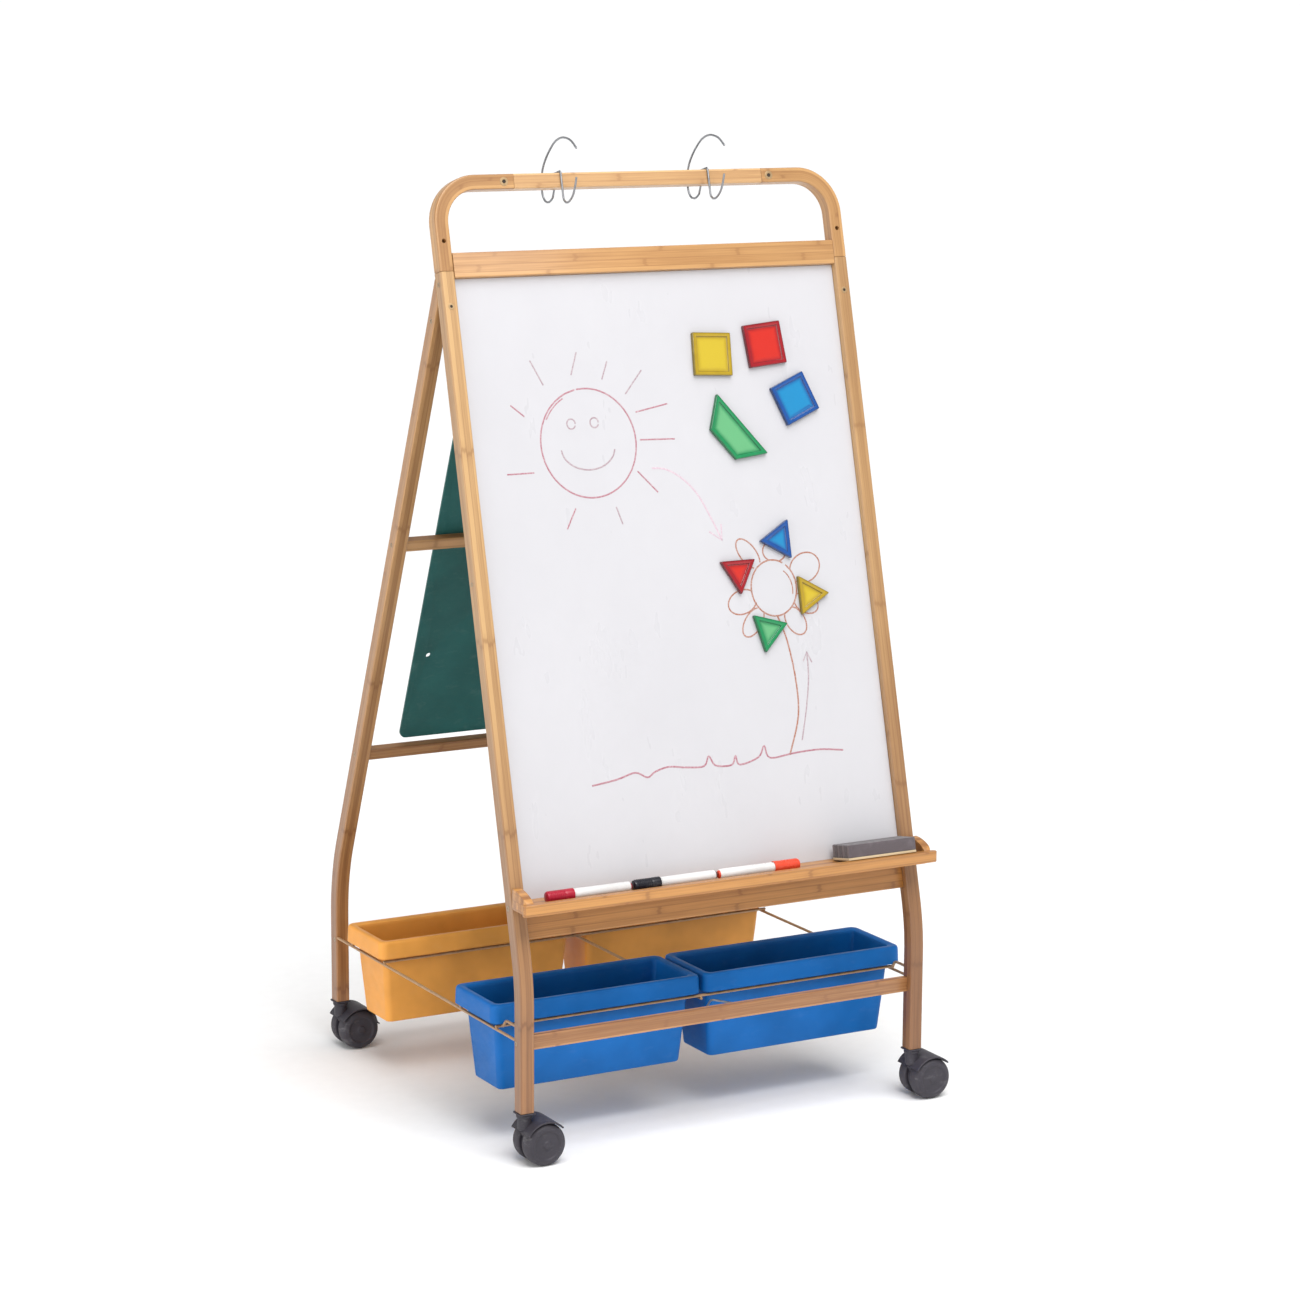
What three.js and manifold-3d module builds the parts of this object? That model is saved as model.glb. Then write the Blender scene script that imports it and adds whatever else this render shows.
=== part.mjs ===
// Rolling classroom easel for children: a bamboo A-frame on four twin-wheel casters, with a
// magnetic dry-erase board, a marker tray, a wire rack with four lift-out tubs and chart hooks.
// Millimetres. +Z is up, the board faces -Y, and the origin is on the floor under the centre.
import * as THREE from "three";
import { mergeVertices } from "three/addons/utils/BufferGeometryUtils.js";
import Module from "manifold-3d";

const wasm = await Module();
wasm.setup();

// ---- driving dimensions ----
const WIDTH = 700;             // over the outer faces of the legs
const DEPTH = 680.5;           // over the front and rear faces of the feet
const STICK = 22.5;            // square bamboo stick
const EASE = 1.3;              // chamfer on the long edges of a stick
const GAP = 0.3;               // clearance between touching pieces
const FOOT_Z = 80;             // underside of a leg

const FRONT_LEAN = THREE.MathUtils.degToRad(14.12);
const FRONT_KNEE_Z = 276;
const FRONT_JOINT = 1048;      // along the slope from the knee: leg meets corner piece
const FRONT_TOP = 1190;        // along the slope from the knee: upper edge of the top bar
const REAR_LEAN = THREE.MathUtils.degToRad(22.18);
const REAR_KNEE_Z = 289.5;
const KNEE_RADIUS = 340;

const CORNER_RADIUS = 72;
const BAR_HALF = 213;          // half the length of the straight top bar
const LEG_X = WIDTH / 2 - STICK / 2;
const INNER_X = WIDTH / 2 - STICK - GAP;   // reach of a rail that sits between the legs
const FACE_Y = DEPTH / 2;
const INNER_Y = FACE_Y - STICK - GAP;      // reach of a wire between front and rear legs

const BOARD_SETBACK = 10;
const BOARD_THICKNESS = 9;
const RAIL_THICKNESS = 12.5;
const RUNG_DEPTH = 15;
const RUNG_HEIGHT = 18.5;
const RUNG_PITCH = 383;        // along the slope
const LOWEST_RUNG = 240.5;     // along the slope from the rear knee

const WIRE_R = 2.2;
const SIDE_WIRE_Z = 187.7;
const CROSS_WIRE_Z = SIDE_WIRE_Z + 2 * WIRE_R + GAP;
const OUTER_WIRE_Y = 257;
const INNER_WIRE_Y = 137;

const TRAY_TOP = 401;
const TRAY_FLOOR = 392.5;
const TRAY_BOTTOM = 384;
const TRAY_FRONT = 365;

const WHEEL_R = 32.5;
const WHEEL_WIDTH = 23;
const WHEEL_GAP = 12;
const CASTER_TRAIL = 24;
const AXLE_R = 3;

// ---- materials ----
const finish = (color, roughness, metalness = 0) =>
  new THREE.MeshStandardMaterial({ color, roughness, metalness });
const BAMBOO = finish("#d9a76b", 0.5);
const BAMBOO_DARK = finish("#c48f55", 0.5);
const BOARD = finish("#eceaf0", 0.25);
const WIRE = finish("#b08d68", 0.4, 0.6);
const CHROME = finish("#c9ccd0", 0.15, 1);
const BLUE = finish("#2470c4", 0.4);
const YELLOW = finish("#f0ae3c", 0.4);
const TEAL = finish("#1f6a64", 0.7);
const CHARCOAL = finish("#3f3b42", 0.55);
const MARKER_WHITE = finish("#f4f3f1", 0.3);
const ERASER = finish("#4b464a", 0.9);
const TILE_COLOURS = { yellow: "#e9c51f", red: "#d6252b", blue: "#1f5fc4", green: "#22a652" };

// ---- geometry helpers ----
const AXES = { x: [1, 2, 0], y: [2, 0, 1], z: [0, 1, 2] };

/** Extrudes a shape along a named axis; the shape's plane is the next two axes in order. */
function extrudeAlong(axis, shape, from, to, bevel = 0) {
  const geometry = new THREE.ExtrudeGeometry(shape, {
    depth: to - from - 2 * bevel,
    steps: 1,
    curveSegments: 6,
    bevelEnabled: bevel > 0,
    bevelThickness: bevel,
    bevelSize: bevel,
    bevelOffset: -bevel,
    bevelSegments: 1,
  });
  geometry.translate(0, 0, from + bevel);
  const unit = [0, 1, 2].map((i) => new THREE.Vector3().setComponent(i, 1));
  const [first, second, third] = AXES[axis].map((i) => unit[i]);
  return geometry.applyMatrix4(new THREE.Matrix4().makeBasis(first, second, third));
}

/** A closed shape through points given as [a, b] pairs. */
function polygon(points) {
  return new THREE.Shape(points.map(([a, b]) => new THREE.Vector2(a, b)));
}

/** A rectangle with its four corners cut at 45 degrees. */
function easedRect(a0, a1, b0, b1, cut = EASE) {
  return polygon([
    [a0 + cut, b0], [a1 - cut, b0], [a1, b0 + cut], [a1, b1 - cut],
    [a1 - cut, b1], [a0 + cut, b1], [a0, b1 - cut], [a0, b0 + cut],
  ]);
}

/** Points on an arc, in degrees. */
function arcPoints(centre, radius, from, to, steps) {
  return Array.from({ length: steps + 1 }, (_, i) => {
    const angle = THREE.MathUtils.degToRad(from + ((to - from) * i) / steps);
    return [centre[0] + radius * Math.cos(angle), centre[1] + radius * Math.sin(angle)];
  });
}

/** A rectangle with round corners. */
function roundedRect(halfA, halfB, radius, centre = [0, 0], steps = 5) {
  const [ca, cb] = centre;
  const a = halfA - radius;
  const b = halfB - radius;
  return polygon([
    ...arcPoints([ca + a, cb - b], radius, -90, 0, steps),
    ...arcPoints([ca + a, cb + b], radius, 0, 90, steps),
    ...arcPoints([ca - a, cb + b], radius, 90, 180, steps),
    ...arcPoints([ca - a, cb - b], radius, 180, 270, steps),
  ]);
}

/** A cylinder from one point to another along a named axis. */
function cylinderAlong(axis, radius, from, to, centre, sides = 10) {
  const geometry = new THREE.CylinderGeometry(radius, radius, to - from, sides);
  if (axis === "x") geometry.rotateZ(-Math.PI / 2);
  if (axis === "z") geometry.rotateX(Math.PI / 2);
  const middle = (from + to) / 2;
  const [a, b] = centre;
  const place = { x: [middle, a, b], y: [b, middle, a], z: [a, b, middle] }[axis];
  return geometry.translate(...place);
}

/** A path that an extrusion follows through exactly the points it is given. */
class StationPath extends THREE.Curve {
  constructor(points) {
    super();
    this.points = points;
  }

  getPointAt(u) {
    return this.points[Math.round(u * (this.points.length - 1))].clone();
  }

  getTangentAt(u) {
    const last = this.points.length - 1;
    const i = Math.round(u * last);
    const before = this.points[Math.max(0, i - 1)];
    const after = this.points[Math.min(last, i + 1)];
    return after.clone().sub(before).normalize();
  }

  getSpacedPoints() {
    return this.points.map((point) => point.clone());
  }
}

/** A round wire through the points given. */
function wire(points, radius, sides = 8) {
  const section = polygon(arcPoints([0, 0], radius, 0, 360 - 360 / sides, sides - 1));
  return new THREE.ExtrudeGeometry(section, {
    steps: points.length - 1,
    extrudePath: new StationPath(points),
    bevelEnabled: false,
  });
}

// ---- joining and cutting ----
function toSolid(geometry) {
  const bare = geometry.index ? geometry.toNonIndexed() : geometry.clone();
  bare.deleteAttribute("normal");
  bare.deleteAttribute("uv");
  const merged = mergeVertices(bare, 1e-4);
  return new wasm.Manifold(new wasm.Mesh({
    numProp: 3,
    vertProperties: new Float32Array(merged.attributes.position.array),
    triVerts: new Uint32Array(merged.index.array),
  }));
}

function toGeometry(solid) {
  const { vertProperties, triVerts } = solid.getMesh();
  const geometry = new THREE.BufferGeometry();
  geometry.setAttribute("position", new THREE.BufferAttribute(new Float32Array(vertProperties), 3));
  geometry.setIndex(new THREE.BufferAttribute(new Uint32Array(triVerts), 1));
  return geometry;
}

function join(...geometries) {
  return toGeometry(geometries.map(toSolid).reduce((sum, solid) => sum.add(solid)));
}

function cut(geometry, ...tools) {
  return toGeometry(tools.map(toSolid).reduce((rest, tool) => rest.subtract(tool), toSolid(geometry)));
}

function keepInside(geometry, limit) {
  return toGeometry(toSolid(geometry).intersect(toSolid(limit)));
}

// ---- scene graph ----
const easel = new THREE.Group();

// The front frame's own axes: X across, Y into its thickness, Z up the slope from the knee.
const frontFrame = new THREE.Group();
frontFrame.position.set(0, -FACE_Y, FRONT_KNEE_Z);
frontFrame.rotation.x = -FRONT_LEAN;
easel.add(frontFrame);

// The rear frame's own axes: Y = 0 is its outer face and the sticks lie at negative Y.
const rearFrame = new THREE.Group();
rearFrame.position.set(0, FACE_Y, REAR_KNEE_Z);
rearFrame.rotation.x = REAR_LEAN;
easel.add(rearFrame);

function add(parent, name, geometry, material) {
  const mesh = new THREE.Mesh(geometry, material);
  mesh.name = name;
  parent.add(mesh);
  return mesh;
}

const SIDES = { left: -1, right: 1 };

// ---- legs ----
/** Where the line through p along u meets the line through q along v. */
function meet(p, u, q, v) {
  const t = ((q[0] - p[0]) * v[1] - (q[1] - p[1]) * v[0]) / (u[0] * v[1] - u[1] * v[0]);
  return [p[0] + t * u[0], p[1] + t * u[1]];
}

/**
 * Side outline of a leg: a plumb foot, a bent knee and a leaning shank, as [y, z] points.
 * The outer face is at y = -FACE_Y below the knee. topCut is [point, direction] of the end.
 */
function legOutline(kneeZ, lean, topCut) {
  const slope = [Math.sin(lean), Math.cos(lean)];
  const knee = [-FACE_Y, kneeZ];
  const innerKnee = [knee[0] + STICK * slope[1], knee[1] - STICK * slope[0]];
  const tangent = KNEE_RADIUS * Math.tan(lean / 2);
  const centre = [-FACE_Y + KNEE_RADIUS, kneeZ - tangent];
  const turn = THREE.MathUtils.radToDeg(lean);
  const outerArc = arcPoints(centre, KNEE_RADIUS, 180, 180 - turn, 6);
  const innerArc = arcPoints(centre, KNEE_RADIUS - STICK, 180 - turn, 180, 6);
  return [
    [-FACE_Y, FOOT_Z],
    ...outerArc,
    meet(knee, slope, ...topCut),
    meet(innerKnee, slope, ...topCut),
    ...innerArc,
    [-FACE_Y + STICK, FOOT_Z],
  ];
}

/** [y, z] of a point in the front frame's own axes. */
function frontPoint(depth, along) {
  return [
    -FACE_Y + depth * Math.cos(FRONT_LEAN) + along * Math.sin(FRONT_LEAN),
    FRONT_KNEE_Z - depth * Math.sin(FRONT_LEAN) + along * Math.cos(FRONT_LEAN),
  ];
}

function addLegs() {
  const squareEnd = [frontPoint(0, FRONT_JOINT), [Math.cos(FRONT_LEAN), -Math.sin(FRONT_LEAN)]];
  const front = legOutline(FRONT_KNEE_Z, FRONT_LEAN, squareEnd);
  // The rear leg is drawn mirrored, so the plane that it is mitred to is mirrored too.
  const [mitreY, mitreZ] = frontPoint(STICK + GAP, 0);
  const mitre = [[-mitreY, mitreZ], [-Math.sin(FRONT_LEAN), Math.cos(FRONT_LEAN)]];
  const rear = legOutline(REAR_KNEE_Z, REAR_LEAN, mitre).map(([y, z]) => [-y, z]);
  for (const [side, sign] of Object.entries(SIDES)) {
    const from = sign * LEG_X - STICK / 2;
    const to = sign * LEG_X + STICK / 2;
    add(easel, `front_leg_${side}`, extrudeAlong("x", polygon(front), from, to, EASE), BAMBOO);
    add(easel, `rear_leg_${side}`, extrudeAlong("x", polygon(rear), from, to, EASE), BAMBOO);
  }
}

// ---- top of the front frame ----
/** Extrudes a shape drawn in X and Z through the frame's thickness. */
function throughFrame(points, from, to, bevel) {
  return extrudeAlong("y", polygon(points.map(([x, z]) => [z, x])), from, to, bevel);
}

function addTopFrame() {
  const holeAlong = 1093;
  const holeR = 3.4;
  const holeDepth = 14;
  for (const [side, sign] of Object.entries(SIDES)) {
    const centre = [WIDTH / 2 - CORNER_RADIUS, FRONT_TOP - CORNER_RADIUS];
    const outline = [
      [WIDTH / 2, FRONT_JOINT + GAP],
      ...arcPoints(centre, CORNER_RADIUS, 0, 90, 10),
      [BAR_HALF + GAP, FRONT_TOP],
      [BAR_HALF + GAP, FRONT_TOP - STICK],
      ...arcPoints(centre, CORNER_RADIUS - STICK, 90, 0, 10),
      [WIDTH / 2 - STICK, FRONT_JOINT + GAP],
    ];
    const blank = throughFrame(outline.map(([x, z]) => [sign * x, z]), 0, STICK, EASE);
    const hole = cylinderAlong("y", holeR, -1, holeDepth, [holeAlong, sign * LEG_X], 16);
    add(frontFrame, `top_corner_${side}`, cut(blank, hole), BAMBOO_DARK);
  }
  const barSection = easedRect(0, STICK, FRONT_TOP - STICK, FRONT_TOP);
  add(frontFrame, "top_bar", extrudeAlong("x", barSection, -BAR_HALF, BAR_HALF), BAMBOO);
}

// ---- board, its rails and the tray ----
const BOARD_LOW = 121.5;
const BOARD_HIGH = 1037.5;
const RAIL_HIGH = 1075;
const APRON_LOW = 64;
const APRON_HIGH = 113.8;
const APRON_FRONT = STICK - RAIL_THICKNESS;

function addBoard() {
  const railSection = easedRect(0, STICK, BOARD_HIGH + GAP, RAIL_HIGH);
  add(frontFrame, "board_top_rail", extrudeAlong("x", railSection, -INNER_X, INNER_X), BAMBOO);
  const sheet = easedRect(BOARD_SETBACK, BOARD_SETBACK + BOARD_THICKNESS, BOARD_LOW, BOARD_HIGH, 0.5);
  add(frontFrame, "whiteboard", extrudeAlong("x", sheet, -INNER_X, INNER_X), BOARD);
  const apronSection = easedRect(APRON_FRONT, STICK, APRON_LOW, APRON_HIGH);
  add(frontFrame, "tray_apron", extrudeAlong("x", apronSection, -INNER_X, INNER_X), BAMBOO);
}

/** y of the front frame's plane at a height, at a depth behind its front face. */
function planeY(z, depth) {
  const rise = z - FRONT_KNEE_Z + depth * Math.sin(FRONT_LEAN);
  return -FACE_Y + depth * Math.cos(FRONT_LEAN) + rise * Math.tan(FRONT_LEAN);
}

function addTray() {
  const cheekTop = 415;
  const cheekWidth = 13;
  const lipWidth = 11;
  const plan = 18;             // plan radius of the two front corners
  const half = WIDTH / 2;
  const legFront = planeY(TRAY_BOTTOM, 0) - GAP;
  const boardFace = planeY(TRAY_FLOOR, BOARD_SETBACK) - 0.8;
  const outline = polygon([
    ...arcPoints([half - plan, -TRAY_FRONT + plan], plan, -90, 0, 5),
    [half, legFront],
    [INNER_X - 1, legFront],
    [INNER_X - 1, boardFace],
    [1 - INNER_X, boardFace],
    [1 - INNER_X, legFront],
    [-half, legFront],
    ...arcPoints([plan - half, -TRAY_FRONT + plan], plan, 180, 270, 5),
  ]);
  const planLimit = extrudeAlong("z", outline, TRAY_BOTTOM, cheekTop);
  // The lip runs on a little past both cheeks.
  const lipShape = roundedRect(half + 6, lipWidth / 2, 5, [0, -TRAY_FRONT + lipWidth / 2]);
  const lip = extrudeAlong("z", lipShape, TRAY_BOTTOM, TRAY_TOP, 0.8);
  const slab = extrudeAlong("z", outline, TRAY_BOTTOM, TRAY_TOP);
  const trough = extrudeAlong("x", polygon([
    [-TRAY_FRONT + lipWidth, TRAY_FLOOR], [boardFace + 2, TRAY_FLOOR],
    [boardFace + 2, TRAY_TOP + 1], [-TRAY_FRONT + lipWidth, TRAY_TOP + 1],
  ]), cheekWidth - half, half - cheekWidth);
  // A cheek is a quarter of an ellipse, high at the leg and low at the lip.
  const quarter = arcPoints([0, 0], 1, 90, 180, 8).map(([a, b]) => [
    legFront + a * (TRAY_FRONT + legFront), TRAY_BOTTOM + b * (cheekTop - TRAY_BOTTOM),
  ]);
  const cheek = polygon([...quarter, [legFront, TRAY_BOTTOM]]);
  const cheeks = [[-half, cheekWidth - half], [half - cheekWidth, half]].map(
    ([from, to]) => keepInside(extrudeAlong("x", cheek, from, to), planLimit));
  add(easel, "marker_tray", join(cut(slab, trough), lip, ...cheeks), BAMBOO);
}

// ---- rails near the floor, and the rear ladder ----
function addStretchers() {
  const high = 195;
  const low = 172.5;
  for (const [end, sign] of [["front", -1], ["rear", 1]]) {
    const inner = sign * (FACE_Y - STICK);
    const outer = inner + sign * RAIL_THICKNESS;
    const section = easedRect(Math.min(inner, outer), Math.max(inner, outer), low, high);
    add(easel, `${end}_stretcher`, extrudeAlong("x", section, -INNER_X, INNER_X), BAMBOO);
  }
}

function addRearLadder() {
  const setback = 2.5;         // rung behind the legs' inner faces
  const nearFace = -STICK + setback;
  ["lower", "middle", "top"].forEach((level, i) => {
    const along = LOWEST_RUNG + i * RUNG_PITCH;
    const section = easedRect(nearFace, nearFace + RUNG_DEPTH, along - RUNG_HEIGHT / 2, along + RUNG_HEIGHT / 2);
    add(rearFrame, `rear_rung_${level}`, extrudeAlong("x", section, -INNER_X, INNER_X), BAMBOO);
  });
}

function addRearPanel() {
  const halfWidth = 272;
  const low = 257;
  const high = 1015;
  const thickness = 4;
  const radius = 12;
  const back = -STICK + 2.5 + RUNG_DEPTH + GAP;
  const holeR = 4.5;
  const holeX = halfWidth - 25;
  const holeAlong = low + 153;
  const middle = (low + high) / 2;
  const blank = extrudeAlong("y", roundedRect((high - low) / 2, halfWidth, radius, [middle, 0]), back, back + thickness);
  const holes = [-1, 1].map(
    (sign) => cylinderAlong("y", holeR, back - 1, back + thickness + 1, [holeAlong, sign * holeX], 14));
  add(rearFrame, "rear_panel", cut(blank, ...holes), TEAL);
}

// ---- wire rack ----
function addWireRack() {
  const wireX = WIDTH / 2 - WIRE_R - 0.3;
  for (const [side, sign] of Object.entries(SIDES)) {
    const rod = cylinderAlong("y", WIRE_R, -INNER_Y, INNER_Y, [SIDE_WIRE_Z, sign * wireX]);
    add(easel, `side_wire_${side}`, rod, WIRE);
  }
  const rows = { front_outer: -OUTER_WIRE_Y, front_inner: -INNER_WIRE_Y, rear_inner: INNER_WIRE_Y, rear_outer: OUTER_WIRE_Y };
  for (const [row, y] of Object.entries(rows)) {
    const rod = cylinderAlong("x", WIRE_R, -WIDTH / 2, WIDTH / 2, [y, CROSS_WIRE_Z]);
    add(easel, `cross_wire_${row}`, rod, WIRE);
  }
  const half = OUTER_WIRE_Y + WIRE_R;
  add(easel, "centre_wire", cylinderAlong("y", WIRE_R, -half, half, [SIDE_WIRE_Z, 0]), WIRE);
}

/** Short wires that run back from the front legs and bend down to the outer cross wire. */
function addHangers() {
  const path = [[-INNER_Y, 205], [-279, 205], [-274, 203.8], [-270.6, 200.6], [-268.4, 196.6], [-262, 193.4]];
  for (const [side, sign] of Object.entries(SIDES)) {
    const points = path.map(([y, z]) => new THREE.Vector3(sign * 341, y, z));
    add(easel, `hanger_wire_${side}`, wire(points, WIRE_R), WIRE);
  }
}

/** A small bent wire behind the middle of the front stretcher, with its nose towards the rack. */
function addRackClip() {
  const root = 1.2 - INNER_Y;
  const path = [[-25, root, 191.5], [-3, -292, 193.5], [3, -292, 193.5], [25, root, 191.5]];
  add(easel, "rack_clip", wire(path.map((point) => new THREE.Vector3(...point)), 1.6), CHROME);
}

// ---- tubs ----
const TUB_BOTTOM = 87;
const TUB_TOP = 226;
const TUB_X = 180.5;
const TUB_Y = 197;

/** An extruded round-cornered block whose section grows from the bottom up. */
function taperedBlock(bottomHalf, topHalf, radius, from, to) {
  const block = extrudeAlong("z", roundedRect(topHalf[0], topHalf[1], radius), from, to);
  const position = block.attributes.position;
  for (let i = 0; i < position.count; i += 1) {
    if (position.getZ(i) > (from + to) / 2) continue;
    position.setX(i, position.getX(i) * (bottomHalf[0] / topHalf[0]));
    position.setY(i, position.getY(i) * (bottomHalf[1] / topHalf[1]));
  }
  return block;
}

function tubGeometry() {
  const wall = 3;
  const bottomHalf = [155, 43.5];
  const topHalf = [167, 56];
  const rimHalf = [177.5, 69];
  const skirtLow = 198;
  const inset = (half) => half.map((value) => value - wall);
  const body = taperedBlock(bottomHalf, topHalf, 10, TUB_BOTTOM, TUB_TOP - 1);
  const cavity = taperedBlock(inset(bottomHalf), inset(topHalf), 7, TUB_BOTTOM + wall, TUB_TOP + 0.4);
  const rim = extrudeAlong("z", roundedRect(rimHalf[0], rimHalf[1], 13), skirtLow, TUB_TOP, 1.5);
  // Two ribs under the long sides of the rim stand on the cross wires.
  const ribZ = CROSS_WIRE_Z + WIRE_R + GAP;
  const wireHalf = (OUTER_WIRE_Y - INNER_WIRE_Y) / 2;
  const ribs = [-1, 1].map((sign) => {
    const ys = [sign * (wireHalf - 7), sign * (wireHalf + 3)].sort((a, b) => a - b);
    return extrudeAlong("x", easedRect(ys[0], ys[1], ribZ, skirtLow + 2, 0.6), -145, 145);
  });
  return cut(join(body, rim, ...ribs), cavity);
}

function addTubs() {
  for (const [end, ySign, material] of [["front", -1, BLUE], ["rear", 1, YELLOW]]) {
    for (const [side, xSign] of Object.entries(SIDES)) {
      const tub = add(easel, `tub_${end}_${side}`, tubGeometry(), material);
      tub.position.set(xSign * TUB_X, ySign * TUB_Y, 0);
    }
  }
}

// ---- casters ----
/** One wheel: a disc with rounded shoulders and a blind bore, its axis along Y from the web out. */
function wheelGeometry(outward) {
  const boreR = AXLE_R + 0.3;
  const profile = [
    [0, WHEEL_WIDTH], [21, WHEEL_WIDTH], [23, WHEEL_WIDTH - 1], [27, WHEEL_WIDTH - 1.6],
    [WHEEL_R - 2.2, WHEEL_WIDTH - 4], [WHEEL_R - 0.6, WHEEL_WIDTH - 7], [WHEEL_R, WHEEL_WIDTH - 10.5],
    [WHEEL_R, 4], [WHEEL_R - 1.8, 0.8], [WHEEL_R - 4, 0], [boreR, 0], [boreR, 11.5], [0, 11.5],
  ].map(([r, y]) => new THREE.Vector2(r, y)).reverse();
  const wheel = new THREE.LatheGeometry(profile, 32);
  if (outward < 0) wheel.rotateX(Math.PI);
  return wheel;
}

/** The hooded body: a web between the wheels, a hood over them, a neck and two axle stubs. */
function housingGeometry() {
  const webHalf = WHEEL_GAP / 2 - 0.5;
  const hoodHalf = WHEEL_GAP / 2 + WHEEL_WIDTH;
  const hoodLow = WHEEL_R + 1.3;
  const hoodHigh = WHEEL_R + 3.8;
  const centre = [WHEEL_R, 0];
  const web = cylinderAlong("y", WHEEL_R - 5.5, -webHalf, webHalf, [WHEEL_R, 0], 28);
  const arch = [...arcPoints([0, 0], hoodHigh, 42, 150, 14), ...arcPoints([0, 0], hoodLow, 150, 42, 14)];
  const hood = throughFrame(arch.map(([x, z]) => [x, z + centre[0]]), -hoodHalf, hoodHalf);
  const spine = throughFrame([...arcPoints([0, 0], hoodLow + 1, 42, 150, 14), [0, 0]]
    .map(([x, z]) => [x, z + centre[0]]), -webHalf, webHalf);
  const neck = cylinderAlong("z", 10.5, WHEEL_R + 20, FOOT_Z - 0.4, [-CASTER_TRAIL, 0], 20);
  const stubs = cylinderAlong("y", AXLE_R, -15.5, 15.5, [WHEEL_R, 0], 14);
  const sweep = [-1, 1].map((sign) => {
    const ys = [sign * webHalf, sign * (hoodHalf + 4)].sort((a, b) => a - b);
    return cylinderAlong("y", hoodLow, ys[0], ys[1], [WHEEL_R, 0], 40);
  });
  return join(cut(join(web, spine, hood, neck), ...sweep), stubs);
}

/** The foot tab that locks the wheels: it carries on the line of the hood down to a lip. */
function brakeGeometry() {
  const half = 11;
  const low = WHEEL_R + 2.2;
  const high = WHEEL_R + 4.6;
  const arch = [...arcPoints([0, 0], high, 8, 40.5, 6), ...arcPoints([0, 0], low, 40.5, 8, 6)];
  const lip = [
    arch[0], [high + 3.5, 4.4], [high + 3.5, 2.6], [low, 4.4],
  ];
  const outline = [...lip.slice(1).reverse(), ...arch];
  return throughFrame(outline.map(([x, z]) => [x, z + WHEEL_R]), -half, half);
}

function addCasters() {
  const footY = FACE_Y - STICK / 2;
  for (const [end, ySign] of [["front", -1], ["rear", 1]]) {
    for (const [side, xSign] of Object.entries(SIDES)) {
      const caster = new THREE.Group();
      caster.position.set(xSign * LEG_X + CASTER_TRAIL, ySign * footY, 0);
      easel.add(caster);
      const corner = `${end}_${side}`;
      add(caster, `caster_${corner}`, housingGeometry(), CHARCOAL);
      for (const [face, sign] of [["near", -1], ["far", 1]]) {
        const wheel = add(caster, `wheel_${corner}_${face}`, wheelGeometry(sign), CHARCOAL);
        wheel.position.set(0, (sign * WHEEL_GAP) / 2, WHEEL_R);
      }
      if (end === "rear") add(caster, `brake_${corner}`, brakeGeometry(), CHARCOAL);
    }
  }
}

// ---- chart hooks ----
/** A wire hook bent in one plane: a tall arc behind the bar, a saddle over it and an upturned tip. */
function hookGeometry(x) {
  const wireR = 1.6;
  const clear = wireR + GAP;
  const turn = 2.2;            // how tightly the saddle turns round the bar's edges
  const back = STICK + clear;
  const over = FRONT_TOP + clear;
  const guide = [
    [-60, 1214], [-44, 1229.5], [-20, 1238.5], [4, 1237.5], [26, 1228], [44, 1216], [56, 1203],
    [61.5, 1188], [64, 1172], [58, 1158.5], [45, 1154], [32, 1158],
  ].map(([y, z]) => new THREE.Vector3(x, y, z));
  const arc = new THREE.CatmullRomCurve3(guide, false, "centripetal").getPoints(24);
  const saddle = [
    [back + 0.8, 1168], [back, 1176], [back, over - turn], [back - turn, over],
    [turn - clear, over], [-clear, over - turn], [-clear, 1160], [-clear, 1152],
  ].map(([y, z]) => new THREE.Vector3(x, y, z));
  const tipGuide = [
    [-clear - 1.2, 1147.5], [-9, 1143], [-18, 1142.5], [-31, 1148], [-41, 1158], [-50, 1173],
  ].map(([y, z]) => new THREE.Vector3(x, y, z));
  const tip = new THREE.CatmullRomCurve3(tipGuide, false, "centripetal").getPoints(10);
  return wire([...arc, ...saddle, ...tip], wireR);
}

function addHooks() {
  const places = { left: -135, right: 118 };
  for (const [side, x] of Object.entries(places)) {
    add(frontFrame, `chart_hook_${side}`, hookGeometry(x), CHROME);
  }
}

// ---- markers and eraser ----
const MARKER_R = 9;
const MARKER_LENGTH = 141;

/** A capped marker along X, with the cap towards capSign. */
function markerGeometry(capSign) {
  const capLength = 44;
  const profile = [
    [0, 0], [5.5, 0], [7.8, 2], [7.8, MARKER_LENGTH - capLength], [MARKER_R, MARKER_LENGTH - capLength + 0.6],
    [MARKER_R, MARKER_LENGTH - 1.5], [MARKER_R - 1.5, MARKER_LENGTH], [0, MARKER_LENGTH],
  ].map(([r, y]) => new THREE.Vector2(r, y));
  const marker = new THREE.LatheGeometry(profile, 20);
  marker.translate(0, -MARKER_LENGTH / 2, 0);
  marker.rotateZ(capSign > 0 ? -Math.PI / 2 : Math.PI / 2);
  return marker;
}

function addMarkers() {
  const markers = [["red", -235.5, -1], ["black", -91, -1], ["orange", 52, 1]];
  for (const [colour, x, capSign] of markers) {
    const marker = add(easel, `marker_${colour}`, markerGeometry(capSign), MARKER_WHITE);
    marker.position.set(x, -335, TRAY_FLOOR + MARKER_R + GAP);
  }
}

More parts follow.
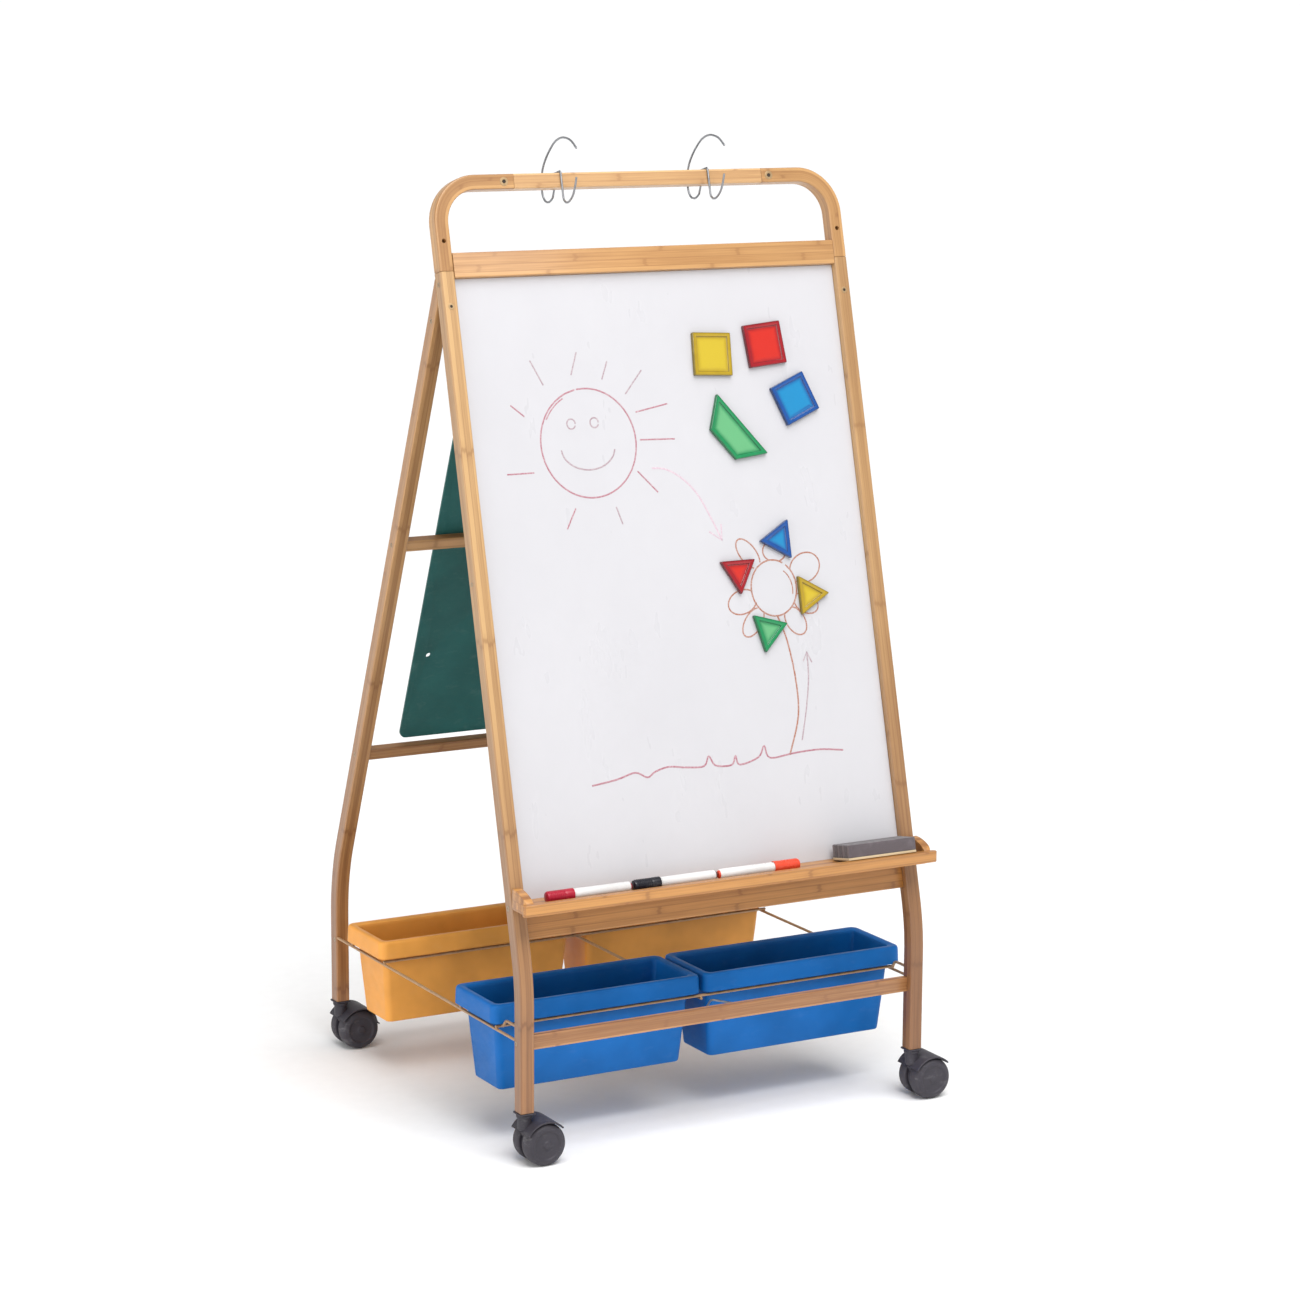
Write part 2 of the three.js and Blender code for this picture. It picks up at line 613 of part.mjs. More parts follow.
function addEraser() {
  const length = 122;
  const depth = 49;
  const height = 24;
  const section = easedRect(0, depth, 0, height, 2);
  const tilted = new THREE.Group();
  // It lies across the trough: the front edge is on the lip and the back edge on the floor.
  const drop = TRAY_TOP - TRAY_FLOOR;
  tilted.rotation.x = -Math.asin(drop / (depth - 4));
  tilted.position.set(0, -TRAY_FRONT + 7, TRAY_TOP + 1.1);
  easel.add(tilted);
  add(tilted, "eraser", extrudeAlong("x", section, 200, 200 + length), ERASER);
}

// ---- magnetic tiles ----
function tileOutline(kind, size) {
  if (kind === "square") return [[-1, -1], [1, -1], [1, 1], [-1, 1]].map(([a, b]) => [(a * size) / 2, (b * size) / 2]);
  if (kind === "triangle") return arcPoints([0, 0], size / Math.sqrt(3), 90, 330, 2);
  const height = size * 0.78;
  return [[-size, -height / 2], [size, -height / 2], [size / 2, height / 2], [-size / 2, height / 2]];
}

function addTiles() {
  const thickness = 6.5;
  const tiles = [
    ["square_yellow", "square", 66, 93, 907, -3], ["square_red", "square", 66, 187, 918, 5],
    ["square_blue", "square", 64, 230, 832, 22], ["trapezoid_green", "trapezoid", 62, 113, 783, 129],
    ["triangle_blue", "triangle", 61, 174, 617, 90], ["triangle_red", "triangle", 61, 96, 573, 180],
    ["triangle_yellow", "triangle", 61, 216, 529, -90], ["triangle_green", "triangle", 61, 137, 480, 44],
  ];
  for (const [name, kind, size, x, along, turn] of tiles) {
    const outline = tileOutline(kind, size).map(([a, b]) => {
      const spun = new THREE.Vector2(a, b).rotateAround(new THREE.Vector2(), THREE.MathUtils.degToRad(turn));
      return [spun.x + x, spun.y + along];
    });
    const back = BOARD_SETBACK - GAP;
    const colour = finish(TILE_COLOURS[name.split("_")[1]], 0.2);
    add(frontFrame, `tile_${name}`, throughFrame(outline, back - thickness, back, 0.8), colour);
  }
}

addLegs();
addTopFrame();
addBoard();
addTray();
addStretchers();
addRearLadder();
addRearPanel();
addWireRack();
addHangers();
addRackClip();
addTubs();
addCasters();
addHooks();
addMarkers();
addEraser();
addTiles();

// The origin is on the floor under the centre of the whole easel, casters and tray included.
const extent = new THREE.Box3().setFromObject(easel, true);
const centre = extent.getCenter(new THREE.Vector3());
easel.position.set(-centre.x, -centre.y, -extent.min.z);
const part = new THREE.Group();
part.add(easel);

export default part;
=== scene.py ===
import math
import random

import bmesh
import bpy
from mathutils import Matrix, Vector


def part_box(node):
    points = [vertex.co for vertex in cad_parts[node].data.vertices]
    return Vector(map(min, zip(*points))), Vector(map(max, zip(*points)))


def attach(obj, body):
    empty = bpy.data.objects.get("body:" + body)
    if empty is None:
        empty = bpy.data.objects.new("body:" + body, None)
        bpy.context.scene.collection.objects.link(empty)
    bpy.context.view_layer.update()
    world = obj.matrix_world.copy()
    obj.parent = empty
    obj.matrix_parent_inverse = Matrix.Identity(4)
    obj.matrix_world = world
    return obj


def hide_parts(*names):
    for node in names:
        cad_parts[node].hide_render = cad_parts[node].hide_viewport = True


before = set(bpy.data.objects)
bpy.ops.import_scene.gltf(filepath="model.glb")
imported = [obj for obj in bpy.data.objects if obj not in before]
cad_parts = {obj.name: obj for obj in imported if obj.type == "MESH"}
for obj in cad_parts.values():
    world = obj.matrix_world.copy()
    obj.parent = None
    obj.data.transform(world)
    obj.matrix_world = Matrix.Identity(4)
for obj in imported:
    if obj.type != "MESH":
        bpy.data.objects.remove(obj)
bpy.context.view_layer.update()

# ---------- shared frame, in millimetres
MM = 0.001
STICK = 22.5
GAP = 0.3
FACE_Y = 340.25
LEG_X = 338.75
OUTER_X = LEG_X + STICK / 2
INNER_X = 327.2
FRONT_LEAN = math.radians(14.12)
REAR_LEAN = math.radians(22.18)
FRONT_KNEE_Z = 276.0
REAR_KNEE_Z = 289.5
KNEE_RADIUS = 340.0
FOOT_Z = 80.0
SHANK = 990.0
FRONT_JOINT = 1048.0
FRONT_TOP = 1190.0
CORNER_RADIUS = 72.0
BAR_HALF = 213.0
BOARD_FACE = 10.0
BOARD_MIDDLE = 579.5
BOARD_HALF = 458.0
BAR_MIDDLE = FRONT_TOP - STICK / 2

left_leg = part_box("front_leg_left")
right_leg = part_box("front_leg_right")
rear_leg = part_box("rear_leg_left")
ORIGIN = Vector((
    (left_leg[0].x + right_leg[1].x) / 2,
    (left_leg[0].y + rear_leg[1].y) / 2,
    0.0,
))

EASEL = Matrix.Translation(ORIGIN) @ Matrix.Scale(MM, 4)
FRONT = EASEL @ Matrix.Translation((0, -FACE_Y, FRONT_KNEE_Z)) @ Matrix.Rotation(-FRONT_LEAN, 4, "X")
REAR = EASEL @ Matrix.Translation((0, FACE_Y, REAR_KNEE_Z)) @ Matrix.Rotation(REAR_LEAN, 4, "X")
X = Vector((1, 0, 0))
Y = Vector((0, 1, 0))
Z = Vector((0, 0, 1))
SIDES = {"left": -1, "right": 1}
RUNGS = {"lower": 240.5, "middle": 623.5, "top": 1006.5}


# ---------- node graphs
class Graph:
    """Short names for the shader nodes that the materials share."""

    def __init__(self, name, **sockets):
        self.material = bpy.data.materials.new(name)
        self.material.use_nodes = True
        self.tree = self.material.node_tree
        self.bsdf = self.tree.nodes["Principled BSDF"]
        for key, value in sockets.items():
            self.bsdf.inputs[key.replace("_", " ")].default_value = value

    def put(self, socket, value):
        if hasattr(value, "is_output"):
            self.tree.links.new(value, socket)
        else:
            socket.default_value = value

    def fill(self, node, sockets):
        for key, value in sockets.items():
            self.put(node.inputs[key.replace("_", " ")], value)
        return node

    def node(self, kind, **sockets):
        return self.fill(self.tree.nodes.new("ShaderNode" + kind), sockets)

    def finish(self, **sockets):
        """Fills sockets of the shader and hands over the material."""
        self.fill(self.bsdf, sockets)
        return self.material

    def place(self):
        return self.node("TexCoord").outputs["Object"]

    def attribute(self, name):
        node = self.node("Attribute")
        node.attribute_name = name
        return node.outputs["Vector"]

    def stretch(self, vector, scale):
        return self.node("Mapping", Vector=vector, Scale=scale).outputs["Vector"]

    def split(self, vector):
        return self.node("SeparateXYZ", Vector=vector).outputs

    def join(self, x, y, z):
        return self.node("CombineXYZ", X=x, Y=y, Z=z).outputs[0]

    def noise(self, vector, scale=1.0, detail=3.0, rough=0.55):
        node = self.node("TexNoise", Vector=vector, Scale=scale, Detail=detail, Roughness=rough)
        return node.outputs["Fac"]

    def random(self, vector):
        return self.node("TexWhiteNoise", Vector=vector).outputs["Value"]

    def math(self, operation, *values):
        node = self.node("Math")
        node.operation = operation
        for socket, value in zip(node.inputs, values):
            self.put(socket, value)
        return node.outputs[0]

    def total(self, *parts):
        """The sum of pairs of a value and its weight."""
        result = None
        for value, weight in parts:
            part = self.math("MULTIPLY", value, weight)
            result = part if result is None else self.math("ADD", result, part)
        return result

    def from_middle(self, value):
        """How far the fraction of a value is from one half."""
        return self.math("ABSOLUTE", self.math("SUBTRACT", self.math("FRACT", value), 0.5))

    def remap(self, value, low, high, to_low=0.0, to_high=1.0, smooth=False):
        node = self.node("MapRange", Value=value, From_Min=low, From_Max=high,
                         To_Min=to_low, To_Max=to_high)
        if smooth:
            node.interpolation_type = "SMOOTHSTEP"
        return node.outputs["Result"]

    def mix(self, factor, a, b):
        node = self.node("Mix")
        node.data_type = "RGBA"
        # The colour sockets of this node are its seventh and eighth.
        for index, value in ((0, factor), (6, rgba(a)), (7, rgba(b))):
            self.put(node.inputs[index], value)
        return node.outputs[2]

    def bump(self, height, strength, distance):
        node = self.node("Bump", Strength=strength, Distance=distance, Height=height)
        return node.outputs["Normal"]


def rgba(colour):
    return colour if hasattr(colour, "is_output") else (*colour, 1.0)


# ---------- materials
# in metres
STRIP_WIDTH = 0.0078
NODE_PITCH = 0.28


def bamboo(name, high, low=None, ply=0.0113):
    """Glued bamboo strips, with a tone for the upper parts and maybe a deeper one for the lower parts,
    partly the wood's own tone and partly painted shade for the light falling off towards the floor.
    """
    low = low or high
    g = Graph(name, Coat_Weight=0.45, Coat_Roughness=0.24, Coat_IOR=1.6)
    grain = g.attribute("grain")
    along, across, deep = g.split(grain)
    strips, plies = g.math("DIVIDE", across, STRIP_WIDTH), g.math("DIVIDE", deep, ply)
    layer = g.math("FLOOR", plies)
    strip = g.random(g.join(g.math("FLOOR", strips), layer, 0.5))
    fibre = g.noise(g.stretch(grain, (14, 900, 900)), detail=4)
    streak = g.noise(g.stretch(grain, (3.2, 210, 210)), detail=3)
    cloud = g.noise(g.stretch(grain, (5, 26, 26)), detail=2)
    # A soft brown band runs over neighbouring strips wherever the cane had a node.
    wobble = g.math("MULTIPLY", g.noise(g.stretch(grain, (10, 300, 300)), detail=1), 0.035)
    turn = g.math("ADD", g.math("DIVIDE", along, NODE_PITCH), g.math("MULTIPLY", strip, 0.05))
    turn = g.math("ADD", turn, g.math("MULTIPLY", g.random(g.join(layer, 0.5, 0.5)), 0.6))
    off_node = g.from_middle(g.math("ADD", turn, wobble))
    band = g.remap(off_node, 0.003, 0.02, 1.0, 0.0, smooth=True)
    halo = g.remap(off_node, 0.0, 0.07, 0.22, 0.0, smooth=True)
    tone = g.total((fibre, 0.6), (streak, 0.75), (cloud, 0.4), (strip, 0.62))
    # Darker towards the floor: the lower tone is partly the wood's own and partly painted shade, where less
    # light reaches the lower parts.
    height = g.remap(g.split(g.place())[2], 0.12, 0.85, smooth=True)
    light = g.mix(height, scaled(low, (1.28, 1.30, 1.22)), scaled(high, (1.22, 1.25, 1.16)))
    dark = g.mix(height, scaled(low, (0.64, 0.54, 0.40)), scaled(high, (0.68, 0.58, 0.44)))
    base = g.mix(g.remap(tone, 0.86, 1.52), light, dark)
    shade = g.mix(height, scaled(low, (0.52, 0.42, 0.34)), scaled(high, (0.56, 0.44, 0.34)))
    base = g.mix(g.math("MULTIPLY", band, 0.5), base, shade)
    base = g.mix(halo, base, dark)
    # Dark glue lines part the strips.
    for level in (strips, plies):
        base = g.mix(g.remap(g.from_middle(level), 0.38, 0.49, 0.0, 0.42), base, shade)
    relief = g.math("SUBTRACT", g.math("MULTIPLY", fibre, 0.6), g.math("MULTIPLY", band, 0.5))
    return g.finish(Base_Color=base, Roughness=g.remap(fibre, 0.3, 0.75, 0.4, 0.54),
                    Normal=g.bump(relief, 0.3, 0.0004))


def scaled(colour, factors):
    return tuple(c * f for c, f in zip(colour, factors))


def toned(colour, gain, lift=0.0):
    return tuple(min(1.0, c * gain + lift) for c in colour)


def moulded(name, colour, roughness, grit=900.0, relief=0.12, scuff=0.06, shine=0.5):
    """Moulded plastic: fine grained skin, slow colour drift and a few dull rubbed patches."""
    g = Graph(name, Specular_IOR_Level=shine)
    place = g.place()
    drift = g.noise(place, 9.0, 3)
    fine = g.noise(place, grit, 2)
    rubbed = g.noise(g.stretch(place, (40, 40, 90)), 1.0, 5, 0.65)
    base = g.mix(g.remap(drift, 0.35, 0.65), toned(colour, 0.86), toned(colour, 1.12, 0.003))
    base = g.mix(g.math("MULTIPLY", g.remap(rubbed, 0.56, 0.72), scuff), base, (0.75, 0.75, 0.74))
    return g.finish(Base_Color=base, Normal=g.bump(fine, relief, 0.0003),
                    Roughness=g.remap(rubbed, 0.35, 0.7, roughness - 0.06, roughness + 0.12))


def tinted(name, edge, rim, pane):
    """Tinted clear plastic: deep colour in the thick frame, and a painted glow over the thin pane that
    stands in for the board's light showing through it.
    """
    g = Graph(name, Roughness=0.12, Coat_Weight=0.4, Coat_Roughness=0.06, IOR=1.5)
    depth = g.split(g.attribute("depth"))[0]
    cloudy = g.noise(g.place(), 60.0, 3)
    level = g.math("ADD", depth, g.math("MULTIPLY", g.math("SUBTRACT", cloudy, 0.5), 0.16))
    base = g.mix(g.remap(level, 0.0, 0.3), edge, rim)
    # The pane's pale colour is painted light from the board behind the plastic.
    base = g.mix(g.remap(level, 0.3, 0.95, smooth=True), base, pane)
    return g.finish(Base_Color=base, Roughness=g.remap(cloudy, 0.3, 0.7, 0.09, 0.22),
                    Normal=g.bump(cloudy, 0.08, 0.0006))


def board_surface():
    """Dry-erase enamel with the faint haze and wipe marks that old ink leaves."""
    g = Graph("dry_erase_enamel", Coat_Weight=0.35, Coat_Roughness=0.12)
    place = g.place()
    haze = g.noise(g.stretch(place, (5, 5, 3)), 1.0, 4, 0.6)
    wipe = g.noise(g.stretch(place, (26, 26, 5)), 1.0, 3, 0.6)
    peel = g.noise(place, 320.0, 2)
    base = g.mix(g.remap(haze, 0.35, 0.7), (0.555, 0.548, 0.570), (0.535, 0.528, 0.550))
    base = g.mix(g.math("MULTIPLY", g.remap(wipe, 0.55, 0.75), 0.06), base, (0.49, 0.478, 0.505))
    return g.finish(Base_Color=base, Roughness=g.remap(wipe, 0.3, 0.7, 0.26, 0.36),
                    Normal=g.bump(peel, 0.03, 0.0003))


def coated_wire(name, colour, metallic, roughness):
    g = Graph(name, Metallic=metallic)
    place = g.place()
    mottled = g.noise(place, 120.0, 4, 0.6)
    fine = g.noise(place, 1500.0, 2)
    base = g.mix(g.remap(mottled, 0.4, 0.75), colour, toned(colour, 1.35))
    return g.finish(Base_Color=base, Normal=g.bump(fine, 0.1, 0.0002),
                    Roughness=g.remap(mottled, 0.3, 0.7, roughness - 0.07, roughness + 0.1))


def felt(name, colour):
    g = Graph(name, Roughness=0.95, Sheen_Weight=0.5, Sheen_Roughness=0.5)
    place = g.place()
    fuzz = g.noise(place, 1400.0, 4, 0.7)
    chalk = g.noise(place, 70.0, 4, 0.6)
    base = g.mix(g.remap(fuzz, 0.3, 0.7), toned(colour, 0.6), colour)
    dusted = g.math("MULTIPLY", g.remap(chalk, 0.5, 0.75), 0.35)
    return g.finish(Base_Color=g.mix(dusted, base, toned(colour, 1.7, 0.02)),
                    Normal=g.bump(fuzz, 0.8, 0.0008))


def ink(name, colour):
    """Dry-erase ink: patchy cover where the tip ran dry."""
    g = Graph(name, Roughness=0.45)
    patchy = g.noise(g.place(), 420.0, 4, 0.7)
    return g.finish(Base_Color=g.mix(g.remap(patchy, 0.42, 0.72), colour, toned(colour, 0.55, 0.36)))


BAMBOO = bamboo("bamboo_light", (0.455, 0.270, 0.125), (0.255, 0.114, 0.044))
BAMBOO_GOLD = bamboo("bamboo_gold", (0.55, 0.305, 0.125))
BAMBOO_PALE = bamboo("bamboo_pale", (0.60, 0.368, 0.185))
BAMBOO_CORNER = bamboo("bamboo_corner", (0.435, 0.234, 0.094), ply=0.0057)
# Darker copies of the bamboo carry painted shade on top of the wood's own tone: tray for the tray and
# apron, deep for the low stretchers, rear for the rear legs and rungs.
BAMBOO_TRAY_SHADED = bamboo("bamboo_tray", (0.43, 0.195, 0.052))
BAMBOO_DEEP_SHADED = bamboo("bamboo_deep", (0.42, 0.208, 0.088))
BAMBOO_REAR_SHADED = bamboo("bamboo_rear", (0.42, 0.225, 0.094), (0.30, 0.140, 0.054))
BOARD = board_surface()
WIRE = coated_wire("wire_bronze", (0.40, 0.245, 0.13), 0.35, 0.42)
CHROME = coated_wire("wire_chrome", (0.235, 0.24, 0.255), 0.75, 0.3)
BLUE = moulded("tub_blue", (0.002, 0.120, 0.41), 0.45, scuff=0.015, shine=0.2)
YELLOW = moulded("tub_yellow", (0.76, 0.325, 0.055), 0.45, scuff=0.015, shine=0.35)
TEAL = moulded("panel_teal", (0.010, 0.105, 0.096), 0.62, grit=500.0, relief=0.2, scuff=0.04)
CHARCOAL = moulded("caster_charcoal", (0.040, 0.036, 0.046), 0.5, grit=1300.0, relief=0.2, shine=0.35)
TREAD = moulded("tread_charcoal", (0.048, 0.043, 0.053), 0.62, grit=700.0, relief=0.3, scuff=0.12,
                shine=0.35)
WHITE = moulded("marker_white", (0.70, 0.69, 0.68), 0.3, relief=0.04, scuff=0.02)
CAP_RED = moulded("cap_red", (0.36, 0.008, 0.028), 0.3, relief=0.05, shine=0.35)
CAP_BLACK = moulded("cap_black", (0.012, 0.012, 0.019), 0.32, relief=0.05, shine=0.35)
CAP_ORANGE = moulded("cap_orange", (0.68, 0.06, 0.022), 0.3, relief=0.05)
CREAM = moulded("eraser_base", (0.60, 0.47, 0.29), 0.6, grit=400.0, relief=0.3)
FELT = felt("eraser_felt", (0.105, 0.082, 0.092))
FELT_DARK = felt("eraser_felt_dark", (0.055, 0.043, 0.050))
STEEL = coated_wire("screw_zinc", (0.30, 0.24, 0.17), 0.7, 0.4)
BRASS = coated_wire("screw_brass", (0.40, 0.27, 0.14), 0.5, 0.42)
# A dark material that paints the shade inside holes and sockets.
PAINTED_HOLE_SHADE = moulded("hole_shadow", (0.03, 0.02, 0.013), 0.8)
INK_ROSE = ink("ink_rose", (0.36, 0.13, 0.17))
INK_PALE = ink("ink_pale", (0.55, 0.40, 0.47))
INK_GREY = ink("ink_grey", (0.34, 0.24, 0.27))
INK_RUST = ink("ink_rust", (0.33, 0.115, 0.06))
# edge, frame and pane of each tile colour; the pale pane colours are painted light
TILE_COLOURS = {
    "yellow": ((0.16, 0.115, 0.008), (0.40, 0.265, 0.010), (0.53, 0.39, 0.024)),
    "red": ((0.11, 0.003, 0.008), (0.31, 0.006, 0.012), (0.54, 0.020, 0.011)),
    "blue": ((0.004, 0.028, 0.12), (0.006, 0.070, 0.29), (0.008, 0.215, 0.45)),
    "green": ((0.004, 0.11, 0.038), (0.008, 0.225, 0.075), (0.12, 0.39, 0.175)),
}


# ---------- mesh helpers
def seed_of(name):
    return sum((i + 1) * ord(c) for i, c in enumerate(name))


def add_object(name, data):
    item = bpy.data.objects.new(name, data)
    bpy.context.scene.collection.objects.link(item)
    return item


def to_mesh(name, bm):
    mesh = bpy.data.meshes.new(name)
    bm.to_mesh(mesh)
    bm.free()
    return mesh


def lay_grain(mesh, name, points, grain):
    """Stores on each vertex where it lies in the piece of bamboo it is cut from."""
    rng = random.Random(seed_of(name))
    shift = Vector((rng.uniform(0, 5), rng.uniform(0, 2), rng.uniform(0, 2)))
    layer = mesh.attributes.get("grain") or mesh.attributes.new("grain", "FLOAT_VECTOR", "POINT")
    for item, point in zip(layer.data, points):
        item.vector = Vector(grain(point)) * MM + shift


def publish(name, bm, material, body, matrix=EASEL, node=None, sharp=35.0, grain=None):
    """Turns a bmesh in millimetres into a piece that rides on a body and may stand for a CAD node."""
    bmesh.ops.remove_doubles(bm, verts=bm.verts, dist=1e-4)
    bmesh.ops.recalc_face_normals(bm, faces=bm.faces)
    limit = math.radians(sharp)
    for face in bm.faces:
        face.smooth = True
    for edge in bm.edges:
        edge.smooth = len(edge.link_faces) == 2 and edge.calc_face_angle(0.0) < limit
    local = [vert.co.copy() for vert in bm.verts]
    bm.transform(matrix)
    mesh = to_mesh(name, bm)
    if grain:
        lay_grain(mesh, name, local, grain)
    for item in material if isinstance(material, list) else [material]:
        mesh.materials.append(item)
    piece = add_object(name, mesh)
    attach(piece, body)
    if node:
        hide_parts(node)
    return piece


def rounded_rect(half_a, half_b, radius, steps=5, support=0.6):
    """Points round a rectangle with round corners, with a support point beside each corner."""
    points = []
    for sign_a, sign_b, start in ((1, -1, -90), (1, 1, 0), (-1, 1, 90), (-1, -1, 180)):
        ca, cb = sign_a * (half_a - radius), sign_b * (half_b - radius)
        angles = [math.radians(start + 90 * i / steps) for i in range(steps + 1)]
        bend = [(ca + radius * math.cos(t), cb + radius * math.sin(t)) for t in angles]
        if support:
            (a, b), (c, d), first, last = bend[0], bend[-1], angles[0], angles[-1]
            bend.insert(0, (a + support * math.sin(first), b - support * math.cos(first)))
            bend.append((c - support * math.sin(last), d + support * math.cos(last)))
        points += bend
    return points


def circle(radius, count=14):
    angles = [math.tau * i / count for i in range(count)]
    return [(radius * math.cos(angle), radius * math.sin(angle)) for angle in angles]


def skin(bm, rings):
    """Joins rings of equal length with quads, and caps the two ends."""
    made = [[bm.verts.new(p) for p in ring] for ring in rings]
    count = len(made[0])
    for low, high in zip(made, made[1:]):
        for i in range(count):
            j = (i + 1) % count
            bm.faces.new((low[i], low[j], high[j], high[i]))
    bm.faces.new(list(reversed(made[0])))
    bm.faces.new(made[-1])


def stations(path, ease):
    """Centre, tangent and inset along a path, with a small chamfer at both ends."""
    result = []
    for i, point in enumerate(path):
        before, after = path[max(0, i - 1)], path[min(len(path) - 1, i + 1)]
        result.append((point, (after - before).normalized(), 0.0))
    if ease:
        start, ahead, _ = result[0]
        end, onward, _ = result[-1]
        result[0] = (start, ahead, ease)
        result.insert(1, (start + ahead * ease, ahead, 0.0))
        result[-1] = (end - onward * ease, onward, 0.0)
        result.append((end, onward, ease))
    return result


def sweep(bm, path, side, section, ease=0.7, end_plane=None):
    """Sweeps a section along a path in one plane; side is that plane's normal."""
    half = max(max(abs(a), abs(b)) for a, b in section)
    rings = []
    for centre, tangent, inset in stations(path, ease):
        normal = tangent.cross(side).normalized()
        shrink = 1.0 - inset / half if inset else 1.0
        rings.append([centre + side * (a * shrink) + normal * (b * shrink) for a, b in section])
    if end_plane:
        point, facing = end_plane
        tangent = (path[-1] - path[-2]).normalized()
        for ring, back in ((rings[-2], ease), (rings[-1], 0.0)):
            for i, p in enumerate(ring):
                gap = (point - facing * back - p).dot(facing) / tangent.dot(facing)
                ring[i] = p + tangent * gap
    skin(bm, rings)


def polar(centre, a, b, radius, angle):
    """The point at an angle on a circle in the plane of a and b."""
    return centre + a * (radius * math.cos(angle)) + b * (radius * math.sin(angle))


def arc(centre, radius, start, end, steps, a=X):
    """Points on an arc in the plane of a and Z, in degrees."""
    angles = [math.radians(start + (end - start) * i / steps) for i in range(steps + 1)]
    return [polar(centre, a, Z, radius, t) for t in angles]


def path_grain(path, side):
    """Grain coordinates of a point near a path: distance along it, and two across it."""
    lengths = [0.0]
    for p, q in zip(path, path[1:]):
        lengths.append(lengths[-1] + (q - p).length)

    def grain(point):
        best = None
        for i, (p, q) in enumerate(zip(path, path[1:])):
            step = q - p
            t = (point - p).dot(step) / step.length_squared
            t = min(1.2 if i == len(path) - 2 else 1.0, max(-0.2 if i == 0 else 0.0, t))
            away = point - (p + step * t)
            if best is None or away.length_squared < best[0]:
                normal = step.normalized().cross(side)
                best = (away.length_squared, lengths[i] + step.length * t, away.dot(side), away.dot(normal))
        return best[1:]

    return grain


def across(axis):
    """A direction square to an axis."""
    return axis.cross(Z if abs(axis.z) < 0.9 else X).normalized()


def rod(bm, start, end, radius):
    """A straight round bar with eased ends."""
    start, end = Vector(start), Vector(end)
    sweep(bm, [start, end], across((end - start).normalized()), circle(radius), ease=0.5)


def lathe(bm, profile, axis_point, axis, count):
    """Turns a profile of (radius, height) pairs, which starts and ends on the axis, about an axis."""
    first = across(axis)
    second = axis.cross(first)
    angles = [math.tau * i / count for i in range(count)]
    rings = []
    for radius, height in profile:
        centre = axis_point + axis * height
        if radius < 1e-6:
            rings.append([bm.verts.new(centre)] * count)
        else:
            rings.append([bm.verts.new(polar(centre, first, second, radius, t)) for t in angles])
    for low, high in zip(rings, rings[1:]):
        for i in range(count):
            j = (i + 1) % count
            corners = list(dict.fromkeys((low[i], low[j], high[j], high[i])))
            if len(corners) > 2:
                bm.faces.new(corners)


def plate(bm, outline, low, high, ease, axis=Y, a=X, b=Z):
    """A flat plate with eased rims, from an outline in the plane of a and b."""
    def ring(points, level):
        return [a * p[0] + b * p[1] + axis * level for p in points]

    inner = inset_outline(outline, ease)
    skin(bm, [ring(inner, low), ring(outline, low + ease), ring(outline, high - ease), ring(inner, high)])


def inset_outline(points, amount):
    """Moves every side of a convex or gently bent outline inwards."""
    count = len(points)
    area = sum(p[0] * q[1] - q[0] * p[1] for p, q in zip(points, [*points[1:], points[0]]))
    turn = 1.0 if area > 0 else -1.0
    result = []
    for i in range(count):
        before, here, after = (Vector(points[k % count]) for k in (i - 1, i, i + 1))
        n1 = (here - before).normalized().orthogonal() * turn
        n2 = (after - here).normalized().orthogonal() * turn
        middle = (n1 + n2).normalized()
        result.append(tuple(here + middle * (amount / max(0.3, middle.dot(n1)))))
    return result


def cad_copy(node, name, material, bevel, segments, grain=None):
    """A CAD node's shape with rounded edges, standing for the node."""
    bm = bmesh.new()
    bm.from_mesh(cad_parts[node].data)
    bmesh.ops.remove_doubles(bm, verts=bm.verts, dist=1e-6)
    bmesh.ops.dissolve_limit(bm, angle_limit=math.radians(0.8), verts=bm.verts, edges=bm.edges)
    edges = [e for e in bm.edges if len(e.link_faces) == 2 and e.calc_face_angle(0.0) > math.radians(28)]
    bmesh.ops.bevel(bm, geom=edges, offset=bevel * MM, segments=segments, profile=0.5,
                    affect="EDGES", clamp_overlap=True)
    bm.transform(EASEL.inverted())
    publish(name, bm, material, "frame", EASEL, node, grain=grain)


# ---------- front frame
SQUARE = rounded_rect(STICK / 2, STICK / 2, 2.4)


def leg_path(sign, lean, knee_z, x):
    """Centre line of a leg: plumb foot, knee and leaning shank. sign is -1 in front, +1 behind."""
    centre = Vector((x, sign * (FACE_Y - KNEE_RADIUS), knee_z - KNEE_RADIUS * math.tan(lean / 2)))
    bend = arc(centre, KNEE_RADIUS - STICK / 2, 0, math.degrees(lean), 12, a=Y * sign)
    foot = Vector((x, sign * (FACE_Y - STICK / 2), FOOT_Z))
    slope = Vector((0, -sign * math.sin(lean), math.cos(lean)))
    return [foot, *bend, bend[-1] + slope * SHANK]


def front_point(depth, along):
    """A point of the front frame in easel millimetres."""
    return EASEL.inverted() @ (FRONT @ Vector((0, depth, along)))


def build_legs():
    # Each leg ends in a plane, given by a point and the way it faces.
    up, out = math.cos(FRONT_LEAN), math.sin(FRONT_LEAN)
    square_cut = (front_point(STICK / 2, FRONT_JOINT), Vector((0, out, up)))
    mitre = (front_point(STICK + GAP, 900), Vector((0, -up, out)))
    ends = (("front", -1, FRONT_LEAN, FRONT_KNEE_Z, BAMBOO, square_cut),
            ("rear", 1, REAR_LEAN, REAR_KNEE_Z, BAMBOO_REAR_SHADED, mitre))
    for side, x_sign in SIDES.items():
        for end, y_sign, lean, knee_z, material, plane in ends:
            path = leg_path(y_sign, lean, knee_z, x_sign * LEG_X)
            bm = bmesh.new()
            sweep(bm, path, X, SQUARE, end_plane=plane)
            publish(f"leg_{end}_{side}", bm, material, "frame", EASEL, f"{end}_leg_{side}",
                    grain=path_grain(path, X))


